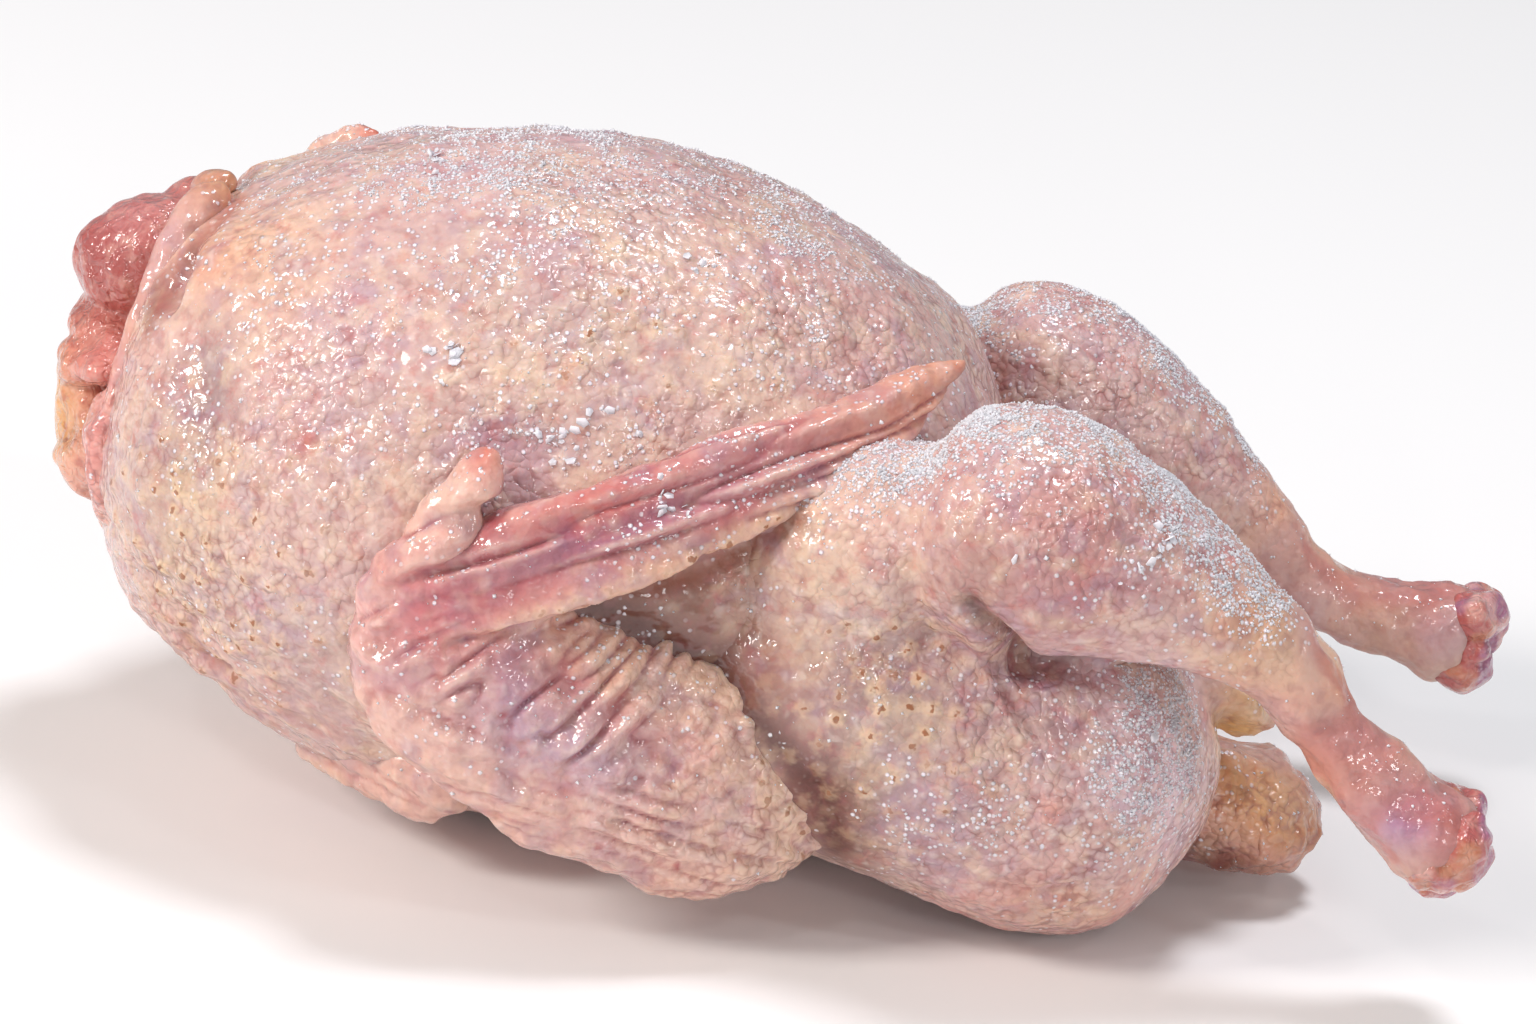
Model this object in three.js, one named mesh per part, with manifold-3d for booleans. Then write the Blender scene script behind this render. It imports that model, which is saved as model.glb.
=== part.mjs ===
// A whole raw quail, plucked and dressed, lying on its back with its breast up. Millimetres, +Z up.
// +X runs from the neck to the feet and -Y is the near side. The origin lies under the middle of the
// bird, on the surface that its back rests on. The bird is one solid: each organ is a sphere drawn out
// along a curve or scaled to a lobe, and the organs are joined into one closed skin.
import * as THREE from 'three';
import { mergeVertices } from 'three/addons/utils/BufferGeometryUtils.js';
import Module from 'manifold-3d';

const wasm = await Module();
wasm.setup();

// ---- driving dimensions ----
const BREAST_LENGTH = 78; // from the neck skin's edge to the rear of the breast
const BREAST_WIDTH = 58;
const BREAST_DEPTH = 57; // from the back to the keel
const NECK_X = -56; // where the breast begins, before the bird is centred
const PELVIS_WIDTH = 42;
const THIGH_RADIUS = 14;
const DRUMSTICK_RADIUS = 10.2;
const SHANK_RADIUS = 2.9;
const HOCK_RADIUS = 4.4;
const LEG_SPREAD = 22; // each leg's distance from the middle plane
const FOREARM_HALF_WIDTH = 8.6;
const FOREARM_HALF_THICKNESS = 4.1;
const HAND_HALF_WIDTH = 5.2;
const HAND_HALF_THICKNESS = 2.5;
const THUMB_RADIUS = 2.3;
const TAIL_HALF_WIDTH = 6.4;
const VENT_RADIUS = 6;
const CENTRE = [-1.5, 0]; // the shift that brings the middle of the bird over the origin

const NEAR = -1;
const FAR = 1;

// ---- building blocks ----

/** The value at t, from 0 to 1, of a smooth curve through a list of numbers. */
function along(values, t) {
  const last = values.length - 1;
  const at = Math.min(last - 1e-9, Math.max(0, t * last));
  const i = Math.floor(at);
  const f = at - i;
  const value = (k) => values[Math.min(last, Math.max(0, k))];
  const slopeIn = (value(i + 1) - value(i - 1)) / 2;
  const slopeOut = (value(i + 2) - value(i)) / 2;
  const [square, cube] = [f * f, f * f * f];
  return (2 * cube - 3 * square + 1) * value(i) + (cube - 2 * square + f) * slopeIn
    + (3 * square - 2 * cube) * value(i + 1) + (cube - square) * slopeOut;
}

/** How far a section has opened at t when each end rounds off over its share of the length. */
function roundedEnds(t, [first, last]) {
  const start = Math.min(1, t / first);
  const end = Math.min(1, (1 - t) / last);
  return Math.sqrt((1 - (1 - start) ** 2) * (1 - (1 - end) ** 2));
}

/**
 * A sphere drawn out along a curve. Each station is [x, y, z, across, deep]: a section's centre and its
 * half widths, deep towards `up` and across at right angles to it. The sections stand at right angles
 * to the curve, or to `facing` where it is given. `round` is the share of the length that each end
 * takes to close.
 */
function limb(stations, { up = [0, 0, 1], facing, around = 24, rings = 20, round = [0.2, 0.2] } = {}) {
  const centres = stations.map(([x, y, z]) => new THREE.Vector3(x, y, z));
  const path = new THREE.CatmullRomCurve3(centres, false, 'centripetal');
  const across = stations.map((station) => station[3]);
  const deep = stations.map((station) => station[4]);
  const hint = new THREE.Vector3(...up);
  const geometry = new THREE.SphereGeometry(1, around, rings);
  const position = geometry.getAttribute('position');
  for (let i = 0; i < position.count; i++) {
    const polar = Math.acos(THREE.MathUtils.clamp(-position.getY(i), -1, 1)) / Math.PI;
    const t = THREE.MathUtils.lerp(polar, (1 - Math.cos(Math.PI * polar)) / 2, 0.6);
    const normal = facing ? new THREE.Vector3(...facing) : path.getTangent(t);
    const deepAxis = hint.clone().addScaledVector(normal, -hint.dot(normal)).normalize();
    const acrossAxis = new THREE.Vector3().crossVectors(normal, deepAxis);
    const ringRadius = Math.hypot(position.getX(i), position.getZ(i));
    const angle = Math.atan2(position.getZ(i), position.getX(i));
    const opened = ringRadius < 1e-6 ? 0 : roundedEnds(t, round);
    const point = path.getPoint(t)
      .addScaledVector(acrossAxis, Math.cos(angle) * opened * along(across, t))
      .addScaledVector(deepAxis, Math.sin(angle) * opened * along(deep, t));
    position.setXYZ(i, point.x, point.y, point.z);
  }
  return geometry;
}

/** A rounded lobe with its centre and half sizes, rolled by `tilt` degrees about Y. */
function lobe(centre, halfSizes, tilt = 0, [around, rings] = [12, 8]) {
  return new THREE.SphereGeometry(1, around, rings)
    .scale(...halfSizes)
    .rotateY(THREE.MathUtils.degToRad(tilt))
    .translate(...centre);
}

/** Stations moved to one side of the middle plane: y is given as a distance from it. */
function onSide(side, stations) {
  return stations.map(([x, y, ...rest]) => [x, side * y, ...rest]);
}

/** A closed solid of a geometry, with its faces pointing out. */
function solidOf(geometry) {
  const bare = new THREE.BufferGeometry();
  bare.setAttribute('position', geometry.getAttribute('position'));
  bare.setIndex(geometry.index);
  const merged = mergeVertices(bare, 1e-4);
  const vertProperties = merged.getAttribute('position').array;
  const triVerts = new Uint32Array(merged.index.array);
  const solid = new wasm.Manifold(new wasm.Mesh({ numProp: 3, vertProperties, triVerts }));
  if (solid.volume() > 0) return solid;
  const turned = triVerts.map((vertex, k) => triVerts[k + [0, 1, -1][k % 3]]);
  return new wasm.Manifold(new wasm.Mesh({ numProp: 3, vertProperties, triVerts: turned }));
}

// ---- trunk ----

/** The egg-shaped breast and back, from the neck skin's edge to the end of the breast bone. */
function breast() {
  // share of the length, height of the centre, shares of the half width and half depth
  const sections = [
    [0.0, 28.6, 0.42, 0.42],
    [0.09, 29.8, 0.67, 0.64],
    [0.19, 29.2, 0.85, 0.8],
    [0.3, 28.5, 0.95, 0.93],
    [0.41, 28.2, 1.0, 1.0],
    [0.52, 28.1, 1.0, 1.005],
    [0.63, 27.6, 0.965, 0.98],
    [0.74, 26.6, 0.89, 0.925],
    [0.85, 24.6, 0.79, 0.84],
    [0.93, 22.4, 0.68, 0.73],
    [1.0, 20.2, 0.53, 0.6],
  ];
  const stations = sections.map(([share, z, wide, high]) => [
    NECK_X + share * BREAST_LENGTH, 0, z, (wide * BREAST_WIDTH) / 2, (high * BREAST_DEPTH) / 2,
  ]);
  return limb(stations, { facing: [1, 0, 0], around: 44, rings: 30, round: [0.07, 0.17] });
}

/** The low, narrowing rump between the thighs. */
function pelvis() {
  const half = PELVIS_WIDTH / 2;
  return limb([
    [-26, 0, 14, 0.6 * half, 14.2],
    [-10, 0, 15.4, 0.9 * half, 15.8],
    [6, 0, 16, half, 16.3],
    [20, 0, 15.4, 0.9 * half, 15.7],
    [30, 0, 14.6, 0.74 * half, 13.4],
    [37, 0, 12.4, 0.5 * half, 10],
  ], { facing: [1, 0, 0], around: 26, rings: 12, round: [0.2, 0.2] });
}

/** The short fatty tail, pressed flat against the surface. */
function tail() {
  return limb([
    [33, -1.5, 9, 0.9 * TAIL_HALF_WIDTH, 6],
    [39, -2, 8, TAIL_HALF_WIDTH, 6],
    [44.4, -2.5, 6.4, 0.94 * TAIL_HALF_WIDTH, 4.8],
    [49.2, -3, 5.8, 0.7 * TAIL_HALF_WIDTH, 3.4],
  ], { around: 18, rings: 12, round: [0.2, 0.22] });
}

/** The vent skin's flap above the tail. */
function ventFlap() {
  return limb([
    [30, -9, 21.6, 4, 2.4],
    [35.5, -7, 21.6, 4.4, 2],
    [39.6, -5, 20.2, 3.8, 1.6],
    [41.4, -3.6, 17.4, 2.8, 1.3],
  ], { around: 12, rings: 9 });
}

/** The hollow that the drawn bird shows between its flap and its tail. */
function ventHollow() {
  return lobe([39, 0.5, 15], [9, VENT_RADIUS, 0.62 * VENT_RADIUS], 8, [18, 12]);
}

// ---- legs ----

/** A thigh, a full mass from the flank down to the hip that touches the surface. */
function thigh(side) {
  const r = THIGH_RADIUS;
  return limb(onSide(side, [
    [-14, 13.5, 20, 0.6 * r, 0.64 * r],
    [-4, 15.6, 20.5, 0.78 * r, 0.88 * r],
    [6, 16.5, 20.6, 0.88 * r, 1.04 * r],
    [16, 16.6, 19, 0.9 * r, 1.12 * r],
    [24.5, 16.2, 15.8, 0.88 * r, 1.08 * r],
    [32.4, 14.8, 14.4, 0.8 * r, 0.92 * r],
    [39.8, 12.6, 14.8, 0.58 * r, 0.62 * r],
  ]), { facing: [1, 0, 0], around: 24, rings: 14, round: [0.2, 0.18] });
}

/** A drumstick and its bare shank, from the knee against the breast to the cut hock. */
function lowerLeg(side, { knee, calf, ankle, shank, hock }) {
  const mix = (a, b, t) => a.map((value, k) => value + t * (b[k] - value));
  const bowed = (t) => mix(calf, ankle, t).map((value, k) => value + k * 4.8 * t * (1 - t));
  const station = ([x, z], spread, radius) => [x, side * spread, z, radius, radius];
  const [drumstick, bone] = [DRUMSTICK_RADIUS, SHANK_RADIUS];
  return limb([
    station(knee, LEG_SPREAD - 2.5, 0.78 * drumstick),
    station(mix(knee, calf, 0.5), LEG_SPREAD - 1, 0.93 * drumstick),
    station(calf, LEG_SPREAD, drumstick),
    station(bowed(0.3), LEG_SPREAD, 0.85 * drumstick),
    station(bowed(0.58), LEG_SPREAD, 0.64 * drumstick),
    station(bowed(0.82), LEG_SPREAD, 0.47 * drumstick),
    station(ankle, LEG_SPREAD, 1.25 * bone),
    station(shank, LEG_SPREAD, bone),
    station(mix(shank, hock, 0.5), LEG_SPREAD, 1.2 * bone),
    station(mix(shank, hock, 0.9), LEG_SPREAD, HOCK_RADIUS),
    station(mix(shank, hock, 1.2), LEG_SPREAD, 0.9 * HOCK_RADIUS),
  ], { up: [0.4, 0, 1], around: 18, rings: 23, round: [0.14, 0.1] });
}

/** The knobs of gristle where the foot was cut from the hock. */
function hockKnobs(side, [x, z]) {
  const y = side * LEG_SPREAD;
  return [
    lobe([x + 1.2, y - 1.6 * side, z + 2.2], [2.4, 2.3, 2.2], 0, [10, 6]),
    lobe([x + 1.9, y + 1.6 * side, z - 0.6], [2.4, 2.5, 2.4], 0, [10, 6]),
    lobe([x + 0.4, y - 1.4 * side, z - 2.8], [2.4, 2.4, 2], 0, [10, 6]),
  ];
}

/** Both legs: the near one is drawn up, the far one lies lower and further back. */
function legs() {
  const near = {
    knee: [12, 35.2], calf: [22, 36.9], ankle: [43.2, 28.8], shank: [47.8, 22.8], hock: [57.4, 15],
  };
  const far = {
    knee: [12, 33.2], calf: [22.2, 31.4], ankle: [44.8, 18.8], shank: [50.4, 16], hock: [60.2, 15.2],
  };
  return [
    thigh(NEAR), thigh(FAR),
    lowerLeg(NEAR, near), lowerLeg(FAR, far),
    ...hockKnobs(NEAR, near.hock), ...hockKnobs(FAR, far.hock),
  ];
}

// ---- wings ----

/** A flat leaf of flesh along a curve, with shares of its half width and half thickness. */
function leaf(curve, shares, halfWidth, halfThickness, up, round) {
  const stations = curve.map((point, k) => [...point, shares[k][0] * halfWidth, shares[k][1] * halfThickness]);
  return limb(stations, { up, around: 16, rings: 14, round });
}

/** A folded wing: forearm from wrist to elbow, hand from wrist to tip, thumb and shoulder skin. */
function wing(side, { forearm, hand, thumb, shoulder }) {
  const outward = [0, side, 0.25];
  const forearmShares = [[0.66, 0.9], [0.86, 1.05], [0.98, 1.08], [1, 1.1], [0.9, 1.05], [0.68, 0.9]];
  const handShares = [[0.8, 1.3], [1, 1.2], [1, 1.05], [0.92, 0.95], [0.78, 0.85], [0.56, 0.75], [0.26, 0.5]];
  const thumbStations = thumb.map((point, k) => {
    const radius = THUMB_RADIUS * [1.25, 1, 0.9, 0.7][k];
    return [...point, radius, 0.85 * radius];
  });
  const shoulderStations = shoulder.map((point, k) => [...point, [2.4, 4.4, 6][k], [1.5, 2.2, 3.2][k]]);
  return [
    leaf(onSide(side, forearm), forearmShares, FOREARM_HALF_WIDTH, FOREARM_HALF_THICKNESS, outward, [0.16, 0.2]),
    leaf(onSide(side, hand), handShares, HAND_HALF_WIDTH, HAND_HALF_THICKNESS, outward, [0.12, 0.12]),
    limb(onSide(side, thumbStations), { up: outward, around: 10, rings: 8, round: [0.2, 0.2] }),
    limb(onSide(side, shoulderStations), { up: outward, around: 16, rings: 10, round: [0.3, 0.3] }),
  ];
}

/** Both wings: the near hand points back over the thigh, the far thumb rises past the breast. */
function wings() {
  const near = {
    forearm: [
      [-29.6, 29.2, 27], [-22.6, 30.2, 22.8], [-14.6, 29.8, 18.8], [-6.4, 28, 15], [0.8, 26, 11.8], [8.4, 24, 8.8],
    ],
    hand: [
      [-30, 29.2, 27], [-23, 30.8, 30], [-16, 30.4, 33.4], [-8, 28.6, 36.6], [0, 25, 40], [8, 19, 43], [15.4, 12.6, 47.6],
    ],
    thumb: [[-27.4, 29.8, 28.6], [-24.8, 31, 32.8], [-22.4, 30.2, 36.6], [-20.2, 29, 40.4]],
    shoulder: [[-38, 10, 8.4], [-30, 16.4, 9], [-20, 23, 11.6]],
  };
  const far = {
    forearm: [
      [-43, 23.6, 40], [-37, 26.4, 34.6], [-29.5, 29, 29], [-21, 30.4, 23], [-13, 29.6, 17.6], [-5.5, 27, 13],
    ],
    hand: [
      [-43, 23.6, 40], [-36, 27, 39], [-28, 29.4, 37.6], [-19, 30.4, 36], [-10, 29.8, 34.6], [-1, 27.6, 33.4], [7, 25, 33],
    ],
    thumb: [[-43.4, 23.6, 41], [-42.6, 23.4, 44.4], [-40.6, 22.6, 46.9], [-37.4, 21.8, 48.9]],
    shoulder: [[-40, 11, 9], [-33, 18, 12.6], [-26, 24.6, 18.6]],
  };
  return [...wing(NEAR, near), ...wing(FAR, far)];
}

// ---- neck ----

/** The rolled edge of the neck skin on one side, a loose fold from the keel down to the back. */
function neckFold(side) {
  return limb(onSide(side, [
    [-47.2, -2.6, 49, 1.6, 2.4],
    [-50, 2.4, 46.2, 1.6, 2.6],
    [-51.4, 5.6, 41.6, 1.5, 2.6],
    [-52, 7.6, 36.4, 1.8, 2.8],
    [-52.6, 8.8, 30.4, 2.3, 3.2],
    [-52, 7.6, 24, 2.4, 3.4],
    [-49.8, 3, 18, 2, 3],
  ]), { up: [1, 0.3, 0], around: 12, rings: 16, round: [0.12, 0.15] });
}

/** The flesh and fat that bulge out of the cut neck. */
function neckLobes() {
  return [
    lobe([-53.2, 0.6, 42.7], [6.4, 5.6, 5.2], -20, [16, 11]), // neck muscle
    lobe([-50, 3.6, 46.4], [3, 3.4, 2.6]),
    lobe([-54.6, 1, 36.2], [4.8, 6.6, 3.4], 12),
    lobe([-55.4, 0.6, 31.6], [5.8, 7, 4], -6),
    lobe([-54.6, 4.4, 28.4], [5.6, 5.6, 4.6]), // fat
    lobe([-54.2, -3.4, 26.8], [5, 5, 4.4]),
    lobe([-51.4, 0.6, 21.6], [4.6, 7, 4.4]),
  ];
}

// ---- whole bird ----

/** All the organs in one skin, with the vent's hollow and the flat that the back rests on cut in. */
function wholeBird() {
  const organs = [
    breast(), pelvis(), tail(), ventFlap(), ...legs(), ...wings(), neckFold(NEAR), neckFold(FAR), ...neckLobes(),
  ].map(solidOf);
  const surface = solidOf(new THREE.BoxGeometry(200, 120, 20).translate(0, 0, -10));
  return organs.reduce((bird, organ) => bird.add(organ)).subtract(solidOf(ventHollow())).subtract(surface);
}

function meshOf(solid, name, material) {
  const { vertProperties, triVerts } = solid.getMesh();
  const geometry = new THREE.BufferGeometry();
  geometry.setAttribute('position', new THREE.BufferAttribute(new Float32Array(vertProperties), 3));
  geometry.setIndex(new THREE.BufferAttribute(triVerts, 1));
  const mesh = new THREE.Mesh(geometry, material);
  mesh.name = name;
  return mesh;
}

const skin = new THREE.MeshStandardMaterial({ color: 0xd9b0aa, roughness: 0.5, metalness: 0 });
const root = new THREE.Group();
const quail = meshOf(wholeBird(), 'quail', skin);
quail.position.set(...CENTRE, 0);
root.add(quail);

export default root;
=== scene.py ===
"""A whole raw quail, plucked and lightly frosted, lying on its back with its breast up."""
import logging
import math
from collections.abc import Iterable
from dataclasses import dataclass
from enum import Enum

import bmesh
import bpy
import numpy as np
from mathutils import Matrix, Vector
from mathutils.kdtree import KDTree


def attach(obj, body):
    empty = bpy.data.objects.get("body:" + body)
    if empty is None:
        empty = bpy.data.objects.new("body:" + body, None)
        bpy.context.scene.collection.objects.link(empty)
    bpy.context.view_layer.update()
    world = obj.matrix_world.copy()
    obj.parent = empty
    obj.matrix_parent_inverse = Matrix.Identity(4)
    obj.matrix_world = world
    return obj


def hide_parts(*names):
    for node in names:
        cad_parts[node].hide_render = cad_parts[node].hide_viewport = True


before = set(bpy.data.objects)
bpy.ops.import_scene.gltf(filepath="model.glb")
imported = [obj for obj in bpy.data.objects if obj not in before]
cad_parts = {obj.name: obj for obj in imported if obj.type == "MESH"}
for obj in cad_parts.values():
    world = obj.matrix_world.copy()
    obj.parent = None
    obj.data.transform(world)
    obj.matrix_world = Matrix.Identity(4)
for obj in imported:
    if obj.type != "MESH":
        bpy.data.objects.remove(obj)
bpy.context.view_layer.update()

LOG = logging.getLogger("quail")
MM = 0.001
CENTRE = np.array([-1.5, 0.0, 0.0])  # the shift that brings the middle of the bird over the origin
NODE = "quail"
LUMINANCE = np.array((0.2126, 0.7152, 0.0722))  # how bright linear red, green and blue look
RELAX_STEP = 0.6  # how far a point moves towards its neighbours' mean in one round

Triple = tuple[float, float, float]
Station = tuple[float, ...]


class Side(Enum):
    """The two sides of the bird, as the sign of y."""

    NEAR = -1
    FAR = 1


# ---- numbers, colours and nodes ----


def hex_linear(code: str) -> tuple[float, float, float, float]:
    """Turns an sRGB hex colour into linear RGBA.

    Args:
        code: Six hex digits after a hash.

    Returns:
        The linear red, green, blue and an alpha of 1.
    """
    parts = [int(code[k : k + 2], 16) / 255 for k in (1, 3, 5)]
    linear = [c / 12.92 if c <= 0.04045 else ((c + 0.055) / 1.055) ** 2.4 for c in parts]
    return (*linear, 1.0)


def layered(colour: np.ndarray, layers: Iterable[tuple[str, np.ndarray]]) -> np.ndarray:
    """Lays soft colours over each other.

    Args:
        colour: The linear colour of each point.
        layers: Each is a hex colour and the share that each point takes of it.

    Returns:
        The new linear colour of each point.
    """
    for code, share in layers:
        cover = share[:, None]
        colour = colour * (1 - cover) + np.array(hex_linear(code)[:3]) * cover
    return colour


def add_node(
    tree: bpy.types.NodeTree, kind: str, links: dict[str | int, object] | None = None, **settings: object
) -> bpy.types.Node:
    """Adds a shader node, sets its properties and fills its inputs.

    Args:
        tree: The node tree.
        kind: The node's type name, without ShaderNode.
        links: Input name or index to an output socket to link, or to a value.
        settings: Properties of the node itself.

    Returns:
        The new node.
    """
    node = tree.nodes.new("ShaderNode" + kind)
    for key, value in settings.items():
        setattr(node, key, value)
    for key, value in (links or {}).items():
        if isinstance(value, bpy.types.NodeSocket):
            tree.links.new(value, node.inputs[key])
        else:
            node.inputs[key].default_value = value
    return node


def empty_material(name: str) -> tuple[bpy.types.Material, bpy.types.NodeTree, bpy.types.NodeSocket]:
    """Makes a material without a shader.

    Args:
        name: The material's name.

    Returns:
        The material, its node tree and a socket with the place on the bird in millimetres.
    """
    material = bpy.data.materials.new(name)
    material.use_nodes = True
    tree = material.node_tree
    tree.nodes.clear()
    place = add_node(tree, "TexCoord").outputs["Object"]
    return material, tree, add_node(tree, "Mapping", {"Vector": place, "Scale": (1 / MM,) * 3}).outputs[0]


def even_material(name: str, inputs: dict[str, object]) -> bpy.types.Material:
    """Makes a material that is the same all over.

    Args:
        name: The material's name.
        inputs: The values of the shader's inputs.

    Returns:
        The material.
    """
    material = bpy.data.materials.new(name)
    material.use_nodes = True
    shader = material.node_tree.nodes["Principled BSDF"]
    for key, value in inputs.items():
        shader.inputs[key].default_value = value
    return material


def smoothstep(low: float, high: float, value: np.ndarray) -> np.ndarray:
    """Rises smoothly from 0 at low to 1 at high; low may be the larger one."""
    t = np.clip((value - low) / (high - low), 0, 1)
    return t * t * (3 - 2 * t)


def band(value: np.ndarray, middle: float, width: float) -> np.ndarray:
    """A soft share: 1 where the value is at the middle, and next to nothing two widths away."""
    return np.exp(-(((value - middle) / width) ** 2))


def spot(points: np.ndarray, centre: Triple, reach: Triple | float | np.ndarray) -> np.ndarray:
    """A soft share: 1 at the centre, and next to nothing two reaches away."""
    return np.exp(-(((points - np.array(centre)) / np.array(reach)) ** 2).sum(axis=1))


def near_side(points: np.ndarray) -> np.ndarray:
    """The same points, with those of the far side mirrored to the near side."""
    return np.stack([points[:, 0], -np.abs(points[:, 1]), points[:, 2]], axis=1)


def slanted(points: np.ndarray, *axes: Triple) -> np.ndarray:
    """The points measured along three other axes, which stretch and slant the noise read there."""
    return points @ np.array(axes, float).T


HASH_STEPS = (374761393, 668265263, 2147483647)
HASH_SEED, HASH_MIX, HASH_BITS = 974634777, 1274126177, 0xFFFFFFFF
SEED_SHIFT = 17.3  # keeps the noises of two seeds apart


def lattice(cell: np.ndarray, seed: int) -> np.ndarray:
    """A fixed random number from -1 to 1 for each whole-number cell.

    Args:
        cell: Whole numbers, one row for each cell.
        seed: Which numbers.

    Returns:
        One number for each cell.
    """
    h = sum(cell[..., k].astype(np.int64) * step for k, step in enumerate(HASH_STEPS))
    h = (h + seed * HASH_SEED) & HASH_BITS
    h = ((h ^ (h >> 13)) * HASH_MIX) & HASH_BITS
    return ((h ^ (h >> 16)) & 0xFFFF) / 32767.5 - 1


def grain(points: np.ndarray, size: float | Triple, seed: int, octaves: int = 1) -> np.ndarray:
    """Smooth lumpy noise from about -1 to 1.

    Args:
        points: Places in millimetres, one row each.
        size: The width of a lump in millimetres, the same or by axis.
        seed: Which noise.
        octaves: How many finer layers, each half as strong.

    Returns:
        One value for each place.
    """
    total = np.zeros(len(points))
    for octave in range(octaves):
        p = points / np.asarray(size) * 2**octave + SEED_SHIFT * seed
        base = np.floor(p)
        f = p - base
        f = f * f * (3 - 2 * f)
        value = np.zeros(len(points))
        for corner in np.ndindex(2, 2, 2):
            weight = np.prod(np.where(np.array(corner) == 1, f, 1 - f), axis=1)
            value += weight * lattice(base + corner, seed + octave)
        total += value * 0.5**octave
    return total


def line_distance(points: np.ndarray, line: Iterable[Triple]) -> tuple[np.ndarray, np.ndarray]:
    """Distance to a broken line, and how far along it the nearest point lies.

    Args:
        points: Places in millimetres.
        line: The line's corners.

    Returns:
        The distance in millimetres, and the share of the line from 0 to 1.
    """
    corners = np.array(line, float)
    spans = np.linalg.norm(np.diff(corners, axis=0), axis=1)
    starts = np.concatenate([[0], np.cumsum(spans)])
    best = np.full(len(points), 1e9)
    share = np.zeros(len(points))
    for a, b, span, start in zip(corners[:-1], corners[1:], spans, starts):
        t = np.clip((points - a) @ (b - a) / span**2, 0, 1)
        d = np.linalg.norm(points - a - t[:, None] * (b - a), axis=1)
        nearer = d < best
        best[nearer], share[nearer] = d[nearer], ((start + t * span) / starts[-1])[nearer]
    return best, share


# ---- organs: spheres drawn out along curves, as in the solid ----


def along(values: np.ndarray, t: np.ndarray) -> np.ndarray:
    """The value at t, from 0 to 1, of a smooth curve through a list of numbers.

    Args:
        values: The numbers, evenly spaced along the curve.
        t: The shares of the way along.

    Returns:
        One value for each share.
    """
    last = len(values) - 1
    at = np.clip(t * last, 0, last - 1e-9)
    i = np.floor(at).astype(int)
    f = at - i
    value = [values[np.clip(i + k, 0, last)] for k in (-1, 0, 1, 2)]
    slope_in, slope_out = (value[2] - value[0]) / 2, (value[3] - value[1]) / 2
    square, cube = f * f, f * f * f
    return (
        (2 * cube - 3 * square + 1) * value[1]
        + (cube - 2 * square + f) * slope_in
        + (3 * square - 2 * cube) * value[2]
        + (cube - square) * slope_out
    )


def path_at(centres: np.ndarray, t: np.ndarray) -> np.ndarray:
    """Points of a centripetal Catmull-Rom curve at t from 0 to 1.

    Args:
        centres: The places that the curve goes through.
        t: The shares of the way along.

    Returns:
        One point for each share.
    """
    last = len(centres) - 1
    padded = np.vstack([2 * centres[0] - centres[1], centres, 2 * centres[-1] - centres[-2]])
    at = np.clip(t * last, 0, last - 1e-9)
    i = np.floor(at).astype(int)
    f = (at - i)[:, None]
    p0, p1, p2, p3 = (padded[i + k] for k in range(4))
    gaps = [np.sqrt(np.linalg.norm(b - a, axis=1))[:, None] for a, b in ((p0, p1), (p1, p2), (p2, p3))]
    m1 = gaps[1] * ((p1 - p0) / gaps[0] - (p2 - p0) / (gaps[0] + gaps[1]) + (p2 - p1) / gaps[1])
    m2 = gaps[1] * ((p2 - p1) / gaps[1] - (p3 - p1) / (gaps[1] + gaps[2]) + (p3 - p2) / gaps[2])
    return p1 + m1 * f + (3 * (p2 - p1) - 2 * m1 - m2) * f**2 + (2 * (p1 - p2) + m1 + m2) * f**3


def limb(
    stations: Iterable[Station],
    up: Triple = (0, 0, 1),
    facing: Triple | None = None,
    ends: tuple[float, float] = (0.2, 0.2),
    around: int = 48,
    rings: int = 48,
) -> bmesh.types.BMesh:
    """Draws a sphere out along a curve.

    Args:
        stations: Each is (x, y, z, across, deep): a section's centre and half widths.
        up: The direction that deep is measured towards.
        facing: A fixed normal for the sections, or None for the curve's own.
        ends: The share of the length that each end takes to close.
        around: Corners of a section.
        rings: Sections.

    Returns:
        A closed mesh in millimetres.
    """
    bm = bmesh.new()
    bmesh.ops.create_uvsphere(bm, u_segments=around, v_segments=rings, radius=1.0)
    ball = np.array([v.co[:] for v in bm.verts])
    table = np.array(stations, float)
    polar = np.arccos(np.clip(-ball[:, 2], -1, 1)) / math.pi
    t = 0.4 * polar + 0.6 * (1 - np.cos(math.pi * polar)) / 2
    centre = path_at(table[:, :3], t)
    if facing is None:
        before, after = (path_at(table[:, :3], np.clip(t + step, 0, 1)) for step in (-1e-4, 1e-4))
        normal = after - before
        normal /= np.linalg.norm(normal, axis=1)[:, None]
    else:
        normal = np.tile(np.array(facing, float), (len(t), 1))
    hint = np.array(up, float)
    deep_axis = hint - normal * (normal @ hint)[:, None]
    deep_axis /= np.linalg.norm(deep_axis, axis=1)[:, None]
    across_axis = np.cross(normal, deep_axis)
    opening = 1 - np.minimum(1, t / ends[0])
    closing = 1 - np.minimum(1, (1 - t) / ends[1])
    opened = np.sqrt(np.clip((1 - opening**2) * (1 - closing**2), 0, 1))
    angle = np.arctan2(ball[:, 1], ball[:, 0])
    at_pole = np.hypot(ball[:, 0], ball[:, 1]) < 1e-5
    across = np.where(at_pole, 0, np.cos(angle) * opened * along(table[:, 3], t))
    deep = np.where(at_pole, 0, np.sin(angle) * opened * along(table[:, 4], t))
    place = centre + across_axis * across[:, None] + deep_axis * deep[:, None]
    for vertex, point in zip(bm.verts, place):
        vertex.co = point
    bmesh.ops.recalc_face_normals(bm, faces=bm.faces)
    return bm


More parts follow.
